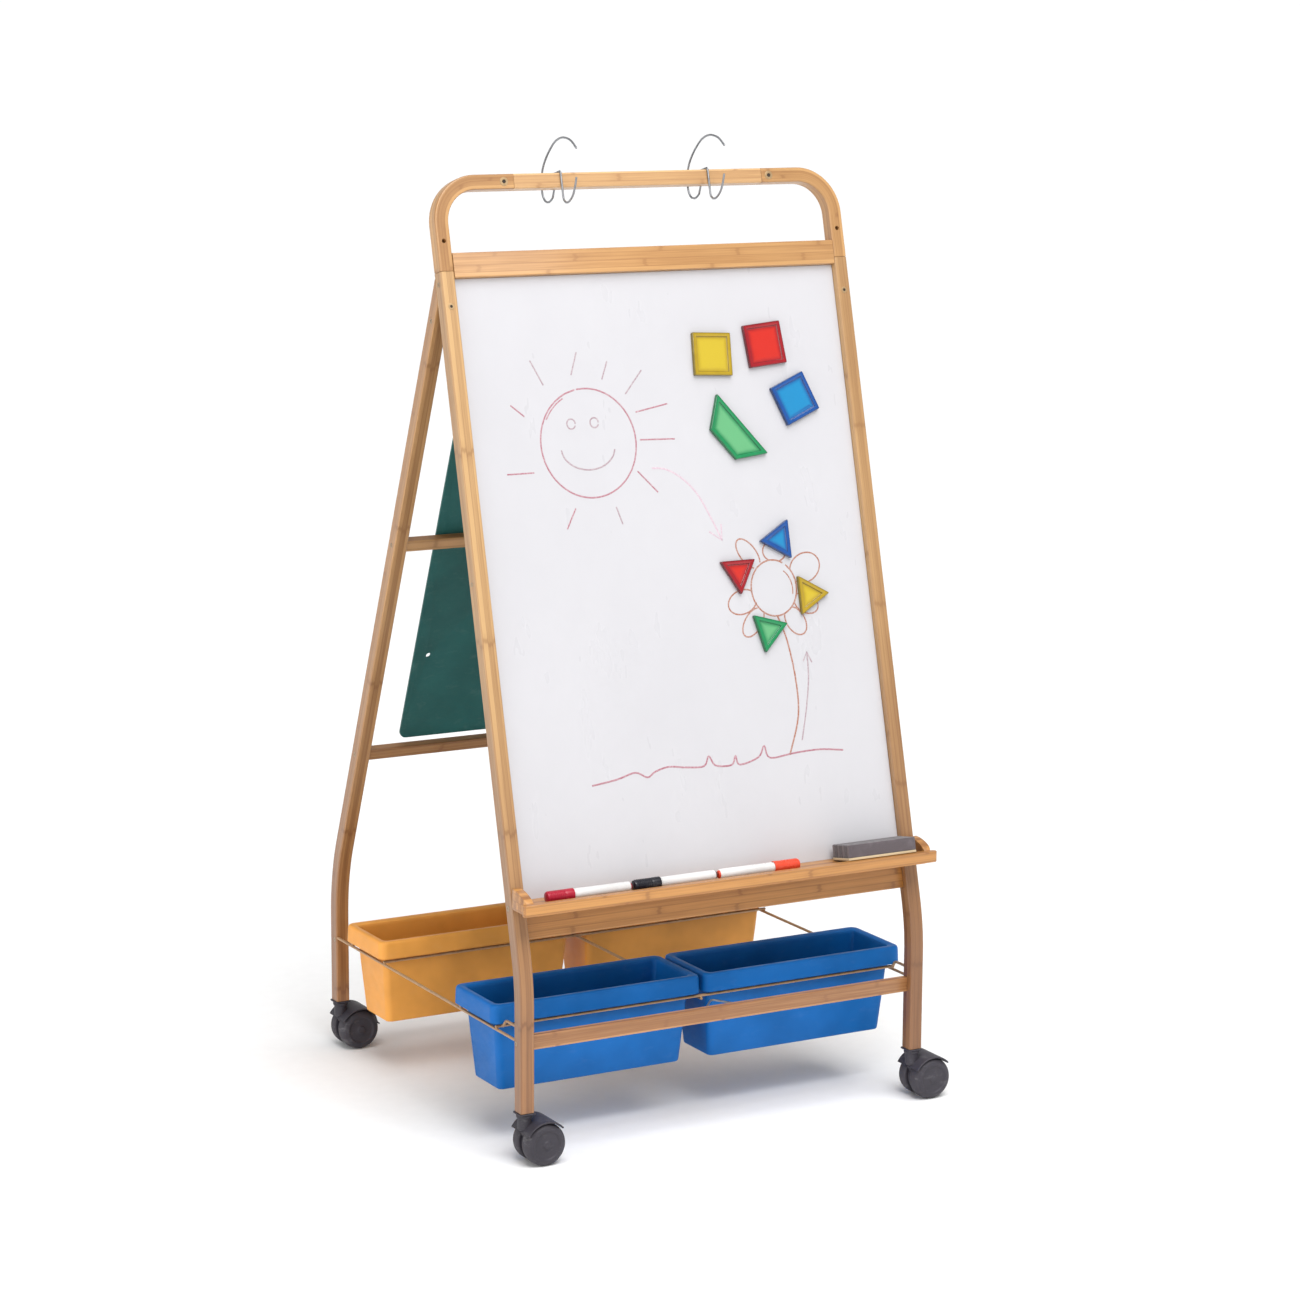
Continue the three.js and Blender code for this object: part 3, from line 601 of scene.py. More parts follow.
def bore(piece, centre, radius, depth):
    """Cuts a round pocket in the front of a piece."""
    bm = bmesh.new()
    lathe(bm, [(0, 0), (radius, 0), (radius, depth), (0, depth)], centre, Y, 28)
    bmesh.ops.recalc_face_normals(bm, faces=bm.faces)
    bm.transform(FRONT)
    cutter = add_object("cutter", to_mesh("cutter", bm))
    # The cutter carries the dark hole material, painted shade meant for the pocket's walls.
    cutter.data.materials.append(PAINTED_HOLE_SHADE)
    modifier = piece.modifiers.new("bore", "BOOLEAN")
    modifier.object = cutter
    modifier.solver = "EXACT"
    bpy.context.view_layer.update()
    depsgraph = bpy.context.evaluated_depsgraph_get()
    solid = piece.data
    piece.data = bpy.data.meshes.new_from_object(piece.evaluated_get(depsgraph))
    piece.modifiers.clear()
    bpy.data.meshes.remove(solid)
    bpy.data.objects.remove(cutter)


def build_top():
    depth = STICK / 2
    for side, sign in SIDES.items():
        centre = Vector((sign * (OUTER_X - CORNER_RADIUS), depth, FRONT_TOP - CORNER_RADIUS))
        path = [Vector((sign * LEG_X, depth, FRONT_JOINT + GAP)),
                *arc(centre, CORNER_RADIUS - STICK / 2, 0, 90, 16, a=X * sign),
                Vector((sign * (BAR_HALF + GAP), depth, BAR_MIDDLE))]
        bm = bmesh.new()
        sweep(bm, path, Y, SQUARE, ease=0.5)
        piece = publish(f"corner_{side}", bm, BAMBOO_CORNER, "frame", FRONT, f"top_corner_{side}",
                        grain=path_grain(path, Y))
        pin_hole = Vector((sign * LEG_X, -1, 1093))
        bore(piece, pin_hole, 3.4, 15)
        local = [FRONT.inverted() @ vert.co for vert in piece.data.vertices]
        lay_grain(piece.data, piece.name, local, path_grain(path, Y))
    path = [Vector((x, depth, BAR_MIDDLE)) for x in (-BAR_HALF, BAR_HALF)]
    bm = bmesh.new()
    sweep(bm, path, Y, SQUARE, ease=0.5)
    publish("bar_top", bm, BAMBOO_PALE, "frame", FRONT, "top_bar", grain=path_grain(path, Y))


def rail(name, node, y0, y1, z0, z1, matrix, material):
    """A straight rail between the legs."""
    path = [Vector((x, (y0 + y1) / 2, (z0 + z1) / 2)) for x in (-INNER_X, INNER_X)]
    section = rounded_rect((y1 - y0) / 2, (z1 - z0) / 2, 1.8)
    bm = bmesh.new()
    sweep(bm, path, Y, section, ease=0.4)
    publish(name, bm, material, "frame", matrix, node, grain=path_grain(path, Y))


def build_rails():
    rail("rail_board_top", "board_top_rail", 0, STICK, 1037.8, 1075, FRONT, BAMBOO_GOLD)
    rail("apron", "tray_apron", 10, STICK, 64, 113.6, FRONT, BAMBOO_TRAY_SHADED)
    rail("stretcher_front", "front_stretcher", -330.25, -317.75, 172.5, 195, EASEL, BAMBOO_DEEP_SHADED)
    rail("stretcher_rear", "rear_stretcher", 317.75, 330.25, 172.5, 195, EASEL, BAMBOO_DEEP_SHADED)
    for level, z in RUNGS.items():
        rail(f"rung_{level}", f"rear_rung_{level}", -20, -5, z - 9.25, z + 9.25, REAR, BAMBOO_REAR_SHADED)


def build_board():
    bm = bmesh.new()
    outline = rounded_rect(INNER_X, BOARD_HALF, 1.2, 3, 0)
    plate(bm, [(a, b + BOARD_MIDDLE) for a, b in outline], BOARD_FACE, 19, 0.5)
    publish("board", bm, BOARD, "frame", FRONT, "whiteboard")


def build_tray():
    cad_copy("marker_tray", "tray", BAMBOO_TRAY_SHADED, 1.3, 3, grain=tuple)


# ---------- rear panel and wires
def build_rear_panel():
    cad_copy("rear_panel", "panel_back", TEAL, 0.6, 2)


WIRE_RADIUS = 2.2
SIDE_WIRE_X = 347.5
LOW_WIRE, HIGH_WIRE = 187.7, 192.4


def publish_wire(name, node, bm):
    publish(name, bm, WIRE, "frame", EASEL, node)


def build_wires():
    for side, sign in SIDES.items():
        bm = bmesh.new()
        x = sign * SIDE_WIRE_X
        rod(bm, (x, -317.4, LOW_WIRE), (x, 317.4, LOW_WIRE), WIRE_RADIUS)
        publish_wire(f"rod_side_{side}", f"side_wire_{side}", bm)
        bm = bmesh.new()
        guide = [(-317.4, 205), (-284, 205), (-277, 204.6), (-273, 202.8), (-270.4, 199.8), (-268, 196.2),
                 (-262.4, 193.6)]
        guide = smooth_path([Vector((sign * 341, y, z)) for y, z in guide], 4)
        sweep(bm, guide, X, circle(WIRE_RADIUS), ease=0.4)
        publish_wire(f"rod_hanger_{side}", f"hanger_wire_{side}", bm)
    rows = {"front_outer": -257, "front_inner": -137, "rear_inner": 137, "rear_outer": 257}
    for row, y in rows.items():
        bm = bmesh.new()
        rod(bm, (-OUTER_X, y, HIGH_WIRE), (OUTER_X, y, HIGH_WIRE), WIRE_RADIUS)
        for x in (-SIDE_WIRE_X, 0, SIDE_WIRE_X):
            weld(bm, Vector((x, y, (LOW_WIRE + HIGH_WIRE) / 2)))
        publish_wire(f"rod_cross_{row}", f"cross_wire_{row}", bm)
    bm = bmesh.new()
    rod(bm, (0, -259.2, LOW_WIRE), (0, 259.2, LOW_WIRE), WIRE_RADIUS)
    publish_wire("rod_centre", "centre_wire", bm)
    bm = bmesh.new()
    half = [(25, -316.2, 191.5), (14, -304.2, 192.5), (4.5, -293.4, 193.4)]
    bend = [(-x, y, z) for x, y, z in half] + [(0, -291.4, 193.6)] + half[::-1]
    sweep(bm, smooth_path([Vector(p) for p in bend]), Z, circle(1.6, 12), ease=0.4)
    publish("rod_clip", bm, CHROME, "frame", EASEL, "rack_clip")


def weld(bm, centre):
    """The small bead where two crossing wires are welded."""
    profile = [(0, -1.5), (1.4, -1.2), (2.3, -0.5), (2.5, 0.0), (2.3, 0.5), (1.4, 1.2), (0, 1.5)]
    lathe(bm, profile, centre, Z, 12)


# ---------- tubs
TUB_X, TUB_Y = 180.5, 197.0
# Half length, half width, corner radius and height of each level, outside then inside.
TUB_LEVELS = [
    (149.5, 38.0, 5, 87.0), (153.6, 42.1, 8.6, 87.4), (154.9, 43.4, 9.8, 88.8),
    (155.3, 43.8, 10, 91.5), (155.5, 44.0, 10, 93.0), (161.0, 49.7, 10, 157.0),
    (165.6, 54.5, 10, 218.0), (165.8, 54.7, 10, 219.8), (166.4, 55.5, 10.4, 221.3),
    (168.0, 57.5, 11, 222.0), (171.5, 62.5, 11.6, 222.0), (173.4, 64.8, 12, 221.4),
    (174.3, 65.8, 12.2, 219.8), (174.4, 65.9, 12.3, 218), (174.6, 66.1, 12.3, 201),
    (174.7, 66.2, 12.3, 199), (175.2, 66.7, 12.5, 198.2), (176.4, 67.9, 12.8, 198.0),
    (177.3, 68.8, 13, 198.6), (177.5, 69.0, 13, 200), (177.4, 68.9, 13, 204),
    (176.8, 68.2, 12.8, 220), (176.5, 67.9, 12.7, 222.4), (175.6, 67.0, 12.3, 224.6),
    (173.8, 65.2, 11.4, 225.8), (171.8, 63.0, 10.6, 226.0), (168.0, 57.6, 9.6, 225.4),
    (165.4, 54.9, 8.6, 224.9), (163.9, 53.2, 7.8, 223.8), (163.3, 52.4, 7.2, 221.8),
    (163.1, 52.2, 7, 219.5), (158.2, 46.8, 7, 157), (152.6, 41.1, 7, 96),
    (152.0, 40.6, 6.8, 93.0), (150.6, 39.2, 5.8, 90.9), (147.5, 36.0, 3.6, 90.0),
]


def tub_mesh(x, y):
    bm = bmesh.new()
    rings = []
    for half_x, half_y, radius, z in TUB_LEVELS:
        outline = rounded_rect(half_x, half_y, radius, 9, 1.2)
        rings.append([Vector((x + a, y + b, z)) for a, b in outline])
    skin(bm, rings)
    # Gussets under the long sides of the rim stand on the cross wires.
    gusset = [(52.6, 221.8), (66.6, 221.8), (66.6, 201.5), (64.5, 196.6), (62.5, 195.1), (57.5, 195.1),
              (52.3, 200)]
    for sign in (-1, 1):
        shape = [(y + sign * a, b) for a, b in gusset[::sign]]
        for i in range(-3, 4):
            at = x + 44 * i
            plate(bm, shape, at - 1.2, at + 1.2, 0.3, axis=X, a=Y)
    return bm


def build_tubs():
    for end, y_sign, material, slot in (("front", -1, BLUE, "tub_blue"), ("rear", 1, YELLOW, "tub_yellow")):
        for side, x_sign in SIDES.items():
            tub = f"tub_{end}_{side}"
            bm = tub_mesh(x_sign * TUB_X, y_sign * TUB_Y)
            publish(f"bin_{end}_{side}", bm, material, tub, EASEL, tub)


# ---------- casters
TRAIL = 24.0
WHEEL_RADIUS = 32.5


def build_casters():
    for end, y_sign in (("front", -1), ("rear", 1)):
        for side, x_sign in SIDES.items():
            corner = f"{end}_{side}"
            swivel = Vector((x_sign * LEG_X, y_sign * (FACE_Y - STICK / 2), 0))
            axle = swivel + Vector((TRAIL, 0, WHEEL_RADIUS))
            build_housing(corner, swivel, axle)
            for face, sign in (("near", -1), ("far", 1)):
                build_wheel(corner, face, axle, sign)
            if end == "rear":
                build_brake(corner, axle)
            build_foot_plate(corner, swivel)


def build_housing(corner, swivel, axle):
    bm = bmesh.new()
    hood = arc(axle, 35.05, 42, 150, 34)
    sweep(bm, hood, Y, rounded_rect(28.9, 1.25, 0.8, 3, 0.3), ease=0.4)
    web = arc(axle, 34.6, 44, 148, 20) + arc(axle, 26.8, 160, 400, 28)
    plate(bm, [(p.x, p.z) for p in web], axle.y - 5.3, axle.y + 5.3, 0.6)
    neck = [(0, 53), (8.5, 53), (10.2, 55), (10.5, 62), (10.5, 71), (11.8, 72.2), (12.4, 74), (12.4, 76.2),
            (11.6, 77.2), (7, 77.4), (0, 77.4)]
    lathe(bm, neck, swivel, Z, 32)
    lathe(bm, [(0, -15.4), (2.6, -15.4), (3, -14.9), (3, 14.9), (2.6, 15.4), (0, 15.4)], axle, Y, 18)
    caster = f"caster_{corner}"
    publish(f"hood_{corner}", bm, CHARCOAL, caster, EASEL, caster)


def build_wheel(corner, face, axle, sign):
    start = axle + Y * (sign * 6)
    # hub cap, dished disc, then the raised tyre
    side = [(0, 22.9), (4.6, 22.9), (6.0, 22.5), (6.6, 21.6), (7.2, 21.2), (12, 20.7), (18, 20.7),
            (20.2, 21.0), (21.2, 22.3), (22.2, 22.8), (24.2, 22.5), (26.4, 21.7), (28.0, 20.9)]
    tread = [(28.4, 20.3), (29.2, 19.9), (30.3, 18.9), (31.2, 17.5), (32.0, 15.2), (32.4, 12.6),
             (32.5, 11), (32.5, 6), (32.4, 3.9), (31.9, 2.0), (30.9, 0.8), (29.4, 0.3), (27, 0.2),
             (8, 0.2), (7.2, 0.6), (3.6, 0.6), (3.3, 1.0), (3.3, 11.5), (0, 11.5)]
    bm = bmesh.new()
    lathe(bm, side + tread, start, Y * sign, 64)
    wheel = f"wheel_{corner}_{face}"
    piece = publish(f"disc_{corner}_{face}", bm, [CHARCOAL, TREAD], wheel, EASEL, wheel,
                    sharp=50)
    centre = EASEL @ axle
    for polygon in piece.data.polygons:
        middle = polygon.center
        if math.hypot(middle.x - centre.x, middle.z - centre.z) > 28.2 * MM:
            polygon.material_index = 1


def build_brake(corner, axle):
    bm = bmesh.new()
    path = arc(axle, 35.9, 40.5, 12, 12)
    path += [path[-1] + Vector((x, 0, z)) for x, z in ((1.2, -3.0), (2.9, -5.2), (5.4, -6.6))]
    sweep(bm, path, Y, rounded_rect(11, 1.15, 0.8, 3, 0.3), ease=0.4)
    brake = f"brake_{corner}"
    publish(f"pedal_{corner}", bm, CHARCOAL, brake, EASEL, brake)


def build_foot_plate(corner, swivel):
    bm = bmesh.new()
    outline = rounded_rect(13.2, 13.2, 3, 5, 0.5)
    outline = [(swivel.x + a, swivel.y + b) for a, b in outline]
    plate(bm, outline, FOOT_Z - 2.3, FOOT_Z - 0.2, 0.4, axis=Z, b=Y)
    publish(f"foot_plate_{corner}", bm, CHARCOAL, "frame")


# ---------- hooks
def smooth_path(points, per_span=5):
    """A Catmull-Rom curve through the points."""
    result = []
    count = len(points)
    for i in range(count - 1):
        p0 = points[max(0, i - 1)]
        p1, p2 = points[i], points[i + 1]
        p3 = points[min(count - 1, i + 2)]
        for k in range(per_span):
            t = k / per_span
            a = p1 * 2
            b = p2 - p0
            c = p0 * 2 - p1 * 5 + p2 * 4 - p3
            d = p1 * 3 - p0 - p2 * 3 + p3
            result.append((a + b * t + c * t * t + d * t * t * t) * 0.5)
    result.append(points[-1])
    return result


def build_hooks():
    clear = 1.9
    back, over, turn = STICK + clear, FRONT_TOP + clear, 2.2
    rear = [(-60, 1214), (-44, 1229.5), (-20, 1238.5), (4, 1237.5), (26, 1228), (44, 1216), (56, 1203),
            (61.5, 1188), (64, 1172), (58, 1158.5), (45, 1154), (32, 1158)]
    saddle = [(back + 0.8, 1168), (back, 1176), (back, over - turn), (back - turn, over),
              (turn - clear, over), (-clear, over - turn), (-clear, 1160), (-clear, 1152)]
    tip = [(-clear - 1.2, 1147.5), (-9, 1143), (-18, 1142.5), (-31, 1148), (-41, 1158), (-50, 1173)]
    # The hooks don't hang evenly on the bar.
    for side, x in (("left", -135), ("right", 118)):
        bow, seat, end = ([Vector((x, y, z)) for y, z in part] for part in (rear, saddle, tip))
        path = smooth_path(bow) + seat + smooth_path(end)
        bm = bmesh.new()
        sweep(bm, path, X, circle(1.6, 12), ease=0.5)
        node = f"chart_hook_{side}"
        publish(f"wire_hook_{side}", bm, CHROME, node, FRONT, node, sharp=60)


# ---------- markers and eraser
def build_markers():
    length = 141.0
    for colour, x, cap_sign, material in (("red", -235.5, -1, CAP_RED), ("black", -91, -1, CAP_BLACK),
                                          ("orange", 52, 1, CAP_ORANGE)):
        centre = Vector((x, -335, 401.8))
        start = centre - X * (cap_sign * length / 2)
        axis = X * cap_sign
        body = f"marker_{colour}"
        bm = bmesh.new()
        barrel = [(0, 3.2), (6.6, 3.2), (7.5, 4.2), (7.8, 5.6), (7.8, 94.6), (7.3, 95.2), (7.3, 98),
                  (0, 98)]
        lathe(bm, barrel, start, axis, 32)
        publish(f"barrel_{colour}", bm, WHITE, body, EASEL, body)
        bm = bmesh.new()
        lathe(bm, [(0, 0.4), (3.4, 0.4), (5.0, 0.8), (5.6, 1.6), (6.3, 3.4), (0, 3.4)], start, axis, 28)
        publish(f"plug_{colour}", bm, material, body)
        bm = bmesh.new()
        cap_profile = [(0, 140.9), (6.9, 140.9), (7.7, 140.5), (8.1, 139.6)]
        # grip rings
        level = 137.5
        while level > 112:
            cap_profile += [(8.25, level + 0.9), (8.75, level + 0.6), (8.75, level - 0.6),
                            (8.25, level - 0.9)]
            level -= 3.1
        cap_profile += [(8.6, 111), (8.8, 109), (9.0, 99), (8.9, 97.2), (8.2, 96.8), (7.9, 96.8),
                        (7.9, 99), (0, 99)]
        lathe(bm, cap_profile, start, axis, 36)
        publish(f"cap_{colour}", bm, material, body)


def build_eraser():
    depth, height, length = 49.0, 24.0, 122.0
    tilt = -math.asin(8.5 / (depth - 4))
    local = EASEL @ Matrix.Translation((0, -358, 402.1)) @ Matrix.Rotation(tilt, 4, "X")
    x0 = 200.0
    bm = bmesh.new()
    outline = rounded_rect(length / 2, depth / 2, 2, 4, 0.5)
    outline = [(x0 + length / 2 + a, depth / 2 + b) for a, b in outline]
    plate(bm, outline, 0.0, 3.6, 0.5, axis=Z, b=Y)
    publish("eraser_base", bm, CREAM, "eraser", local, "eraser")
    strips = 7
    pitch = (depth - 1.6) / strips
    rng = random.Random(7)
    for shade, material in (("pale", FELT), ("dark", FELT_DARK)):
        bm = bmesh.new()
        for i in range(0 if shade == "pale" else 1, strips, 2):
            centre = 0.8 + pitch * (i + 0.5)
            top = height - 0.4 - rng.uniform(0.0, 0.5)
            path = [Vector((x0 + 1.0 + (length - 2.0) * k / 8, centre, (3.6 + top) / 2)) for k in range(9)]
            sweep(bm, path, Y, rounded_rect(pitch / 2 - 0.15, (top - 3.4) / 2, 1.5, 3, 0.4), ease=0.8)
        publish(f"eraser_felt_{shade}", bm, material, "eraser", local)


# ---------- magnetic tiles
def tile_outline(kind, size):
    if kind == "square":
        return [(a * size / 2, b * size / 2) for a, b in ((-1, -1), (1, -1), (1, 1), (-1, 1))]
    if kind == "triangle":
        reach = size / math.sqrt(3)
        angles = [math.radians(t) for t in (90, 210, 330)]
        return [(reach * math.cos(t), reach * math.sin(t)) for t in angles]
    height = size * 0.78
    return [(-size, -height / 2), (size, -height / 2), (size / 2, height / 2), (-size / 2, height / 2)]


def soften(points, radius):
    """Rounds each corner of an outline."""
    steps = 3
    result = []
    count = len(points)
    for i in range(count):
        here = Vector(points[i])
        before = (Vector(points[i - 1]) - here).normalized()
        after = (Vector(points[(i + 1) % count]) - here).normalized()
        half = before.angle(after) / 2
        reach = radius / math.tan(half)
        for k in range(steps + 1):
            t = k / steps
            p = here + before * (reach * (1 - t) ** 2) + after * (reach * t ** 2)
            result.append((p.x, p.y))
    return result


def spot(point):
    """A point rounded to a hundredth of a millimetre, to look it up."""
    return tuple(round(value, 5) for value in point)


def build_tiles():
    # name, kind, side, place across and along the board, turn in degrees
    tiles = [
        ("square_yellow", "square", 66, 93, 907, -3),
        ("square_red", "square", 66, 187, 918, 5),
        ("square_blue", "square", 64, 230, 832, 22),
        ("trapezoid_green", "trapezoid", 62, 113, 783, 129),
        ("triangle_blue", "triangle", 61, 174, 617, 90),
        ("triangle_red", "triangle", 61, 96, 573, 180),
        ("triangle_yellow", "triangle", 61, 216, 529, -90),
        ("triangle_green", "triangle", 61, 137, 480, 44),
    ]
    back = BOARD_FACE - GAP
    front = back - 6.5
    for name, kind, size, x, along, turn in tiles:
        colour = name.split("_")[1]
        material = tinted(f"tint_{name}", *TILE_COLOURS[colour])
        spin = Matrix.Rotation(math.radians(turn), 2)
        # inset from the outline, depth behind the front, and how clear the plastic looks there, which sets
        # its painted glow
        levels = [
            (0.9, back, 0.05), (0.0, back - 0.8, 0.0), (0.0, front + 1.0, 0.0), (0.35, front + 0.3, 0.02),
            (1.0, front, 0.12), (2.2, front, 0.26), (5.4, front, 0.30), (6.0, front + 0.3, 0.10),
            (6.6, front + 1.9, 0.06), (7.0, front + 2.2, 0.42), (8.2, front + 2.2, 0.55),
            (9.4, front + 2.1, 0.64), (12.0, front + 2.0, 0.82), (15.2, front + 1.9, 1.0),
        ]
        bm = bmesh.new()
        rings, clear = [], []
        for amount, depth, value in levels:
            shape = soften(inset_outline(tile_outline(kind, size), amount), max(0.5, 1.6 - amount * 0.15))
            shape = [spin @ Vector(p) for p in shape]
            rings.append([Vector((q.x + x, depth, q.y + along)) for q in shape])
            clear.append(value)
        skin(bm, rings)
        tile = f"tile_{name}"
        piece = publish(f"magnet_{name}", bm, material, tile, FRONT, tile)
        # The depth attribute holds how much painted glow each ring shows.
        layer = piece.data.attributes.new("depth", "FLOAT_VECTOR", "POINT")
        lookup = {spot(FRONT @ p): value for ring, value in zip(rings, clear) for p in ring}
        for item, vert in zip(layer.data, piece.data.vertices):
            item.vector = (lookup.get(spot(vert.co), 0.5), 0, 0)


# ---------- drawing on the board
def stroke(bm, points, width, smooth=True):
    """A thin raised ribbon of ink through (x, along) points on the board's face."""
    level = BOARD_FACE - 0.14
    path = [Vector((x, level, z)) for x, z in points]
    if smooth and len(path) > 2:
        path = smooth_path(path)
    section = [(0.08, -width / 2), (0.08, width / 2), (-0.05, width / 2 - 0.4), (-0.05, 0.4 - width / 2)]
    sweep(bm, path, Y, section, ease=0.0)


def ring_points(cx, cz, rx, rz, start, end, count, tilt=0.0):
    """Points on an ellipse, in degrees."""
    points = []
    for i in range(count + 1):
        angle = math.radians(start + (end - start) * i / count)
        p = Matrix.Rotation(math.radians(tilt), 2) @ Vector((rx * math.cos(angle), rz * math.sin(angle)))
        points.append((cx + p.x, cz + p.y))
    return points


def draw(name, ink, *strokes):
    """Everything drawn in one ink; a stroke is its points, its width and whether it is smoothed."""
    bm = bmesh.new()
    for item in strokes:
        stroke(bm, *item)
    publish(name, bm, ink, "frame", FRONT)


def build_drawing():
    cx, cz = -133, 784

    def rays(*ends):
        return [([(cx + x0, cz + z0), (cx + x1, cz + z1)], 2.4) for x0, z0, x1, z1 in ends]

    draw("ink_sun", INK_ROSE,
         (ring_points(cx, cz, 80, 82, 100, 458, 30), 2.6),
         (ring_points(cx + 1, cz - 1, 78, 79, 118, 150, 8), 2.2),
         *rays((-141, -39, -96, -39), (-123, 63, -102, 45), (85, 42, 141, 52), (87, 0, 147, -2),
               (77, -47, 108, -81), (-34, -96, -52, -126)))
    draw("ink_face", INK_GREY,
         *rays((-83, 128, -65, 90), (-4, 137, -17, 103), (46, 121, 34, 94), (103, 105, 71, 70),
               (34, -98, 42, -125)),
         *[(ring_points(cx + dx, cz + 30, 7, 7.5, 0, 340, 14), 2.4) for dx in (-26, 13)],
         (ring_points(cx - 2, cz - 7, 45, 33, 182, 352, 14), 2.6))
    draw("ink_arrow", INK_PALE,
         ([(-31, 740), (-8, 737), (18, 722), (42, 696), (62, 656), (76, 623)], 2.8),
         ([(55, 638), (76, 623), (77, 648)], 2.8, False))
    fx, fz = 157, 544
    petals = []
    # direction from the middle, distance, half length and half width of each petal
    for angle, reach, long, wide in ((126, 66, 27, 14), (82, 54, 16, 20), (24, 64, 28, 22),
                                     (-26, 60, 22, 15), (-58, 60, 24, 16), (228, 64, 26, 14),
                                     (196, 60, 26, 18)):
        c, s = math.cos(math.radians(angle)), math.sin(math.radians(angle))
        petal = ring_points(fx + reach * c, fz + reach * 1.04 * s, long, wide, -150, 150, 14, angle)
        petals.append((petal, 2.4))
    draw("ink_flower", INK_RUST,
         (ring_points(fx, fz, 40, 43, 60, 412, 24), 2.6),
         (ring_points(fx + 2, fz - 3, 31, 34, 55, -15, 8), 2.0),
         *petals,
         ([(158, 500), (170, 460), (177, 400), (174, 345), (151.5, 288)], 2.8))
    draw("ink_growth", INK_GREY,
         ([(176, 308), (190, 356), (200, 402), (202, 442)], 2.4),
         ([(194, 428), (202, 442), (209, 425)], 2.4, False))
    ground = [
        (-192, 276), (-150, 281), (-118, 288), (-98, 279), (-84, 286), (-60, 291), (-30, 287), (0, 286),
        (10, 300), (20, 285), (48, 283), (56, 296), (62, 282), (96, 290), (108, 306), (116, 287),
        (160, 290), (205, 291), (247, 286),
    ]
    draw("ink_ground", INK_ROSE, (ground, 2.8))


# ---------- screws
def screw(name, centre, facing, radius, matrix=EASEL, proud=0.5, material=STEEL):
    """A round head with a hexagonal socket, let into the wood."""
    bm = bmesh.new()
    first = across(facing)
    second = facing.cross(first)
    sixth = math.tau / 6

    def ring(r, level, hexagon=False):
        points = []
        for i in range(24):
            angle = math.tau * i / 24
            reach = r * math.cos(sixth / 2) / math.cos(angle % sixth - sixth / 2) if hexagon else r
            points.append(polar(centre, first, second, reach, angle) + facing * level)
        return points

    skin(bm, [ring(radius, -2.0), ring(radius, proud * 0.4), ring(radius - 0.5, proud),
              ring(radius * 0.52, proud, True), ring(radius * 0.5, proud - 0.15, True),
              ring(radius * 0.46, -1.6, True)])
    publish(name, bm, material, "frame", matrix, sharp=30)


def barrel_nut(name, centre, radius):
    """A flanged brass nut in the front of the frame, with a dark plug in its socket as painted shade."""
    screw(name, centre, -Y, radius, FRONT, 0.6, BRASS)
    # A dark plug fills the socket, painted shade for the recess.
    bm = bmesh.new()
    lathe(bm, [(0, -0.7), (radius * 0.42, -0.7), (radius * 0.42, 1.5), (0, 1.5)], centre, Y, 20)
    publish(f"{name}_socket", bm, PAINTED_HOLE_SHADE, "frame", FRONT)


def build_screws():
    barrel_nut("nut_bar_left", Vector((-230, 0, FRONT_TOP - 11.5)), 6.6)
    barrel_nut("nut_bar_right", Vector((226, 0, FRONT_TOP - 11.5)), 6.6)
    for side, sign in SIDES.items():
        x = sign * LEG_X
        barrel_nut(f"nut_apex_{side}", Vector((x, 0, 996)), 4.8)
        screw(f"screw_cheek_{side}", Vector((sign * 336.9, -300, 402)), X * -sign, 3.0)
        out = X * sign
        for i, along in enumerate(RUNGS.values()):
            screw(f"screw_rung_{side}_{i}", Vector((sign * OUTER_X, -12.5, along)), out, 3.6, REAR)
        for part, y, z, size in (("tray", 14, 113, 4.4), ("board", 13, 588, 3.4), ("rail", 11, 1030, 3.4)):
            screw(f"screw_{part}_{side}", Vector((sign * OUTER_X, y, z)), out, size, FRONT)
    for end, y_sign in (("front", -1), ("rear", 1)):
        for side, x_sign in SIDES.items():
            centre = Vector((x_sign * OUTER_X, y_sign * 324, 184))
            screw(f"screw_stretcher_{end}_{side}", centre, X * x_sign, 3.6)


# ---------- stage, light and camera
def build_stage():
    bm = bmesh.new()
    bmesh.ops.create_grid(bm, x_segments=1, y_segments=1, size=600)
    floor = add_object("floor", to_mesh("floor", bm))
    g = Graph("floor_pale", Roughness=0.85)
    fine = g.noise(g.place(), 40.0, 3)
    base = g.mix(g.remap(fine, 0.3, 0.7), (0.91, 0.91, 0.91), (0.89, 0.89, 0.89))
    floor.data.materials.append(g.finish(Base_Color=base))


def add_light(name, data, direction):
    lamp = add_object(name, data)
    lamp.rotation_euler = direction.to_track_quat("-Z", "Y").to_euler()
    return lamp


def area_light(name, place, target, size, power):
    light = bpy.data.lights.new(name, "AREA")
    light.shape = "RECTANGLE"
    light.size, light.size_y = size
    light.energy = power
    add_light(name, light, Vector(target) - Vector(place)).location = place


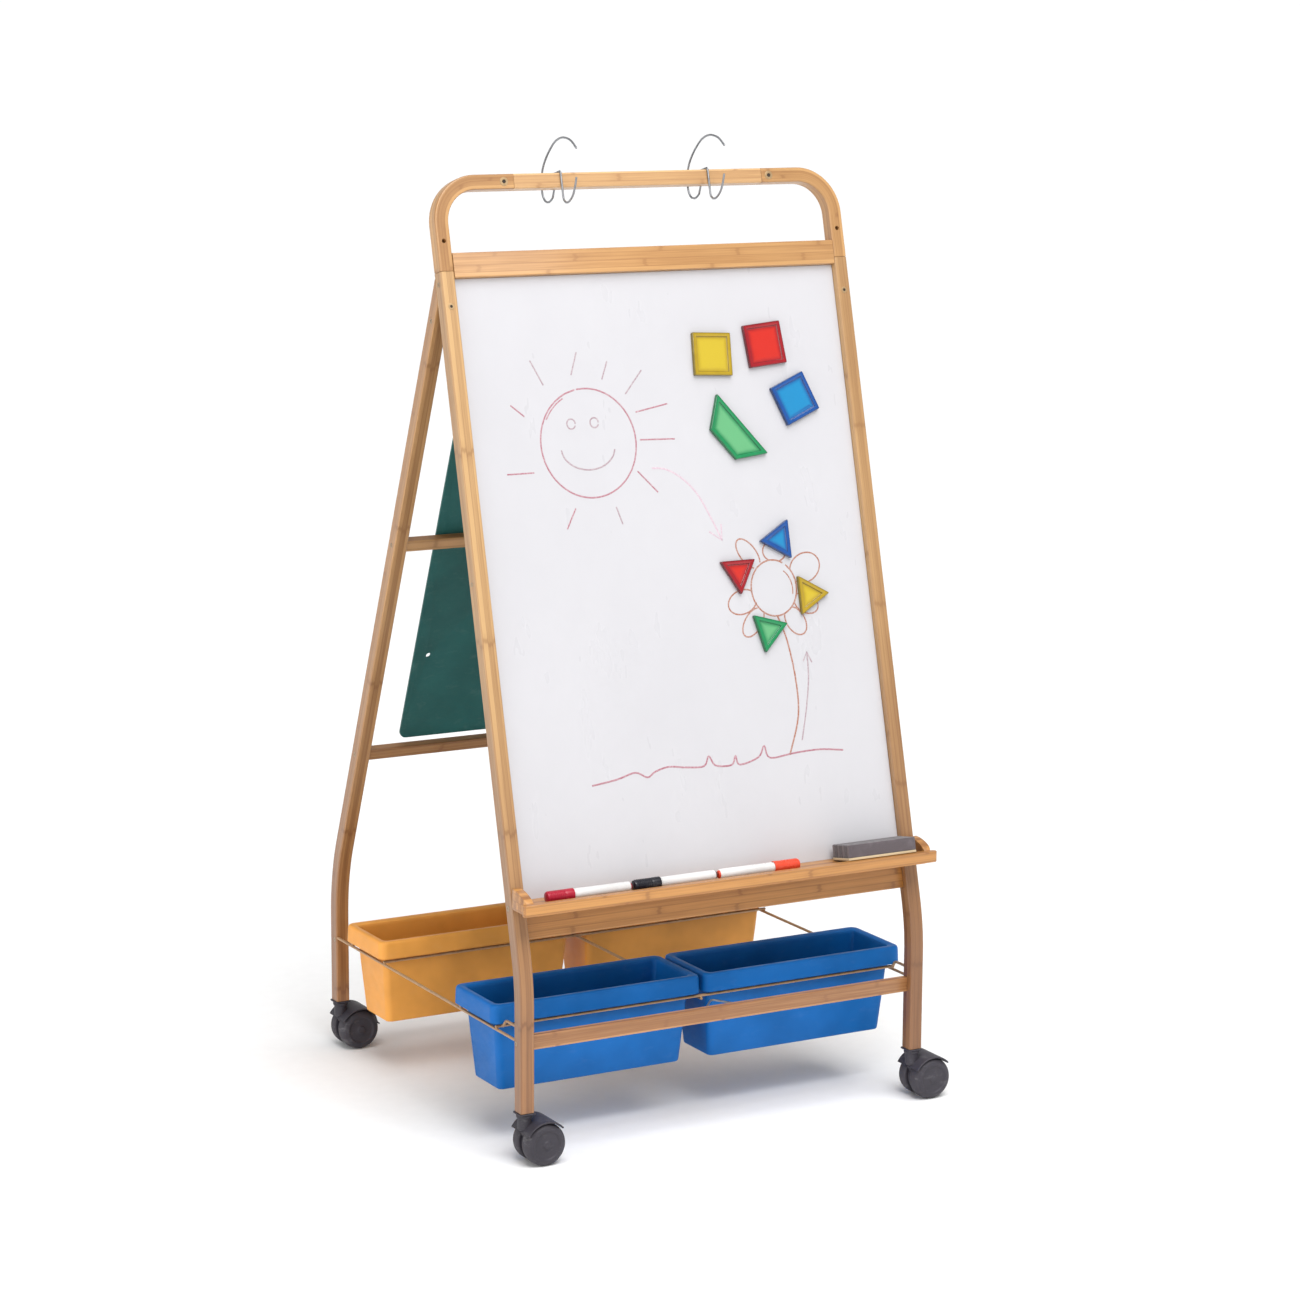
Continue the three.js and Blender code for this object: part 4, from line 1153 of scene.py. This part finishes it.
def build_lights():
    world = bpy.data.worlds.new("studio")
    bpy.context.scene.world = world
    world.use_nodes = True
    nodes, links = world.node_tree.nodes, world.node_tree.links
    background = nodes["Background"]
    background.inputs["Color"].default_value = (1.0, 1.0, 1.0, 1.0)
    # The sky is white along the horizon and softer overhead.
    direction = nodes.new("ShaderNodeSeparateXYZ")
    links.new(nodes.new("ShaderNodeTexCoord").outputs["Generated"], direction.inputs[0])
    fade = nodes.new("ShaderNodeMapRange")
    fade.interpolation_type = "SMOOTHSTEP"
    links.new(direction.outputs["Z"], fade.inputs["Value"])
    for key, value in (("From Min", 0.06), ("From Max", 0.3), ("To Min", 1.05), ("To Max", 0.44)):
        fade.inputs[key].default_value = value
    links.new(fade.outputs["Result"], background.inputs["Strength"])
    sun = bpy.data.lights.new("soft_sun", "SUN")
    sun.energy = 2.55
    sun.angle = math.radians(50)
    add_light("soft_sun", sun, Vector((0.0, 0.42, -0.91)))
    area_light("upper_softbox", (-0.3, -1.9, 2.5), (0, -0.1, 1.3), (1.4, 1.0), 19)
    area_light("left_fill", (-4.2, -0.9, 1.3), (0, 0, 0.7), (2.6, 2.6), 50)


def build_camera():
    data = bpy.data.cameras.new("camera")
    data.sensor_width = 36
    data.lens = 96.9
    data.clip_end = 2000
    camera = add_object("camera", data)
    forward = Vector((0.47800, 0.85856, -0.18543)).normalized()
    right = forward.cross(Z).normalized()
    up = right.cross(forward)
    roll = 0.0055
    tilted_right = right * math.cos(roll) + up * math.sin(roll)
    tilted_up = up * math.cos(roll) - right * math.sin(roll)
    place = EASEL @ Vector((-2573.2, -4713.5, 1698.6))
    turned = Matrix((tilted_right, tilted_up, -forward)).transposed().to_4x4()
    camera.matrix_world = Matrix.Translation(place) @ turned
    bpy.context.scene.camera = camera


build_legs()
build_top()
build_rails()
build_board()
build_tray()
build_rear_panel()
build_wires()
build_tubs()
build_casters()
build_hooks()
build_markers()
build_eraser()
build_tiles()
build_drawing()
build_screws()
build_stage()
build_lights()
build_camera()
bpy.context.scene.view_settings.view_transform = "Standard"

bpy.context.view_layer.update()
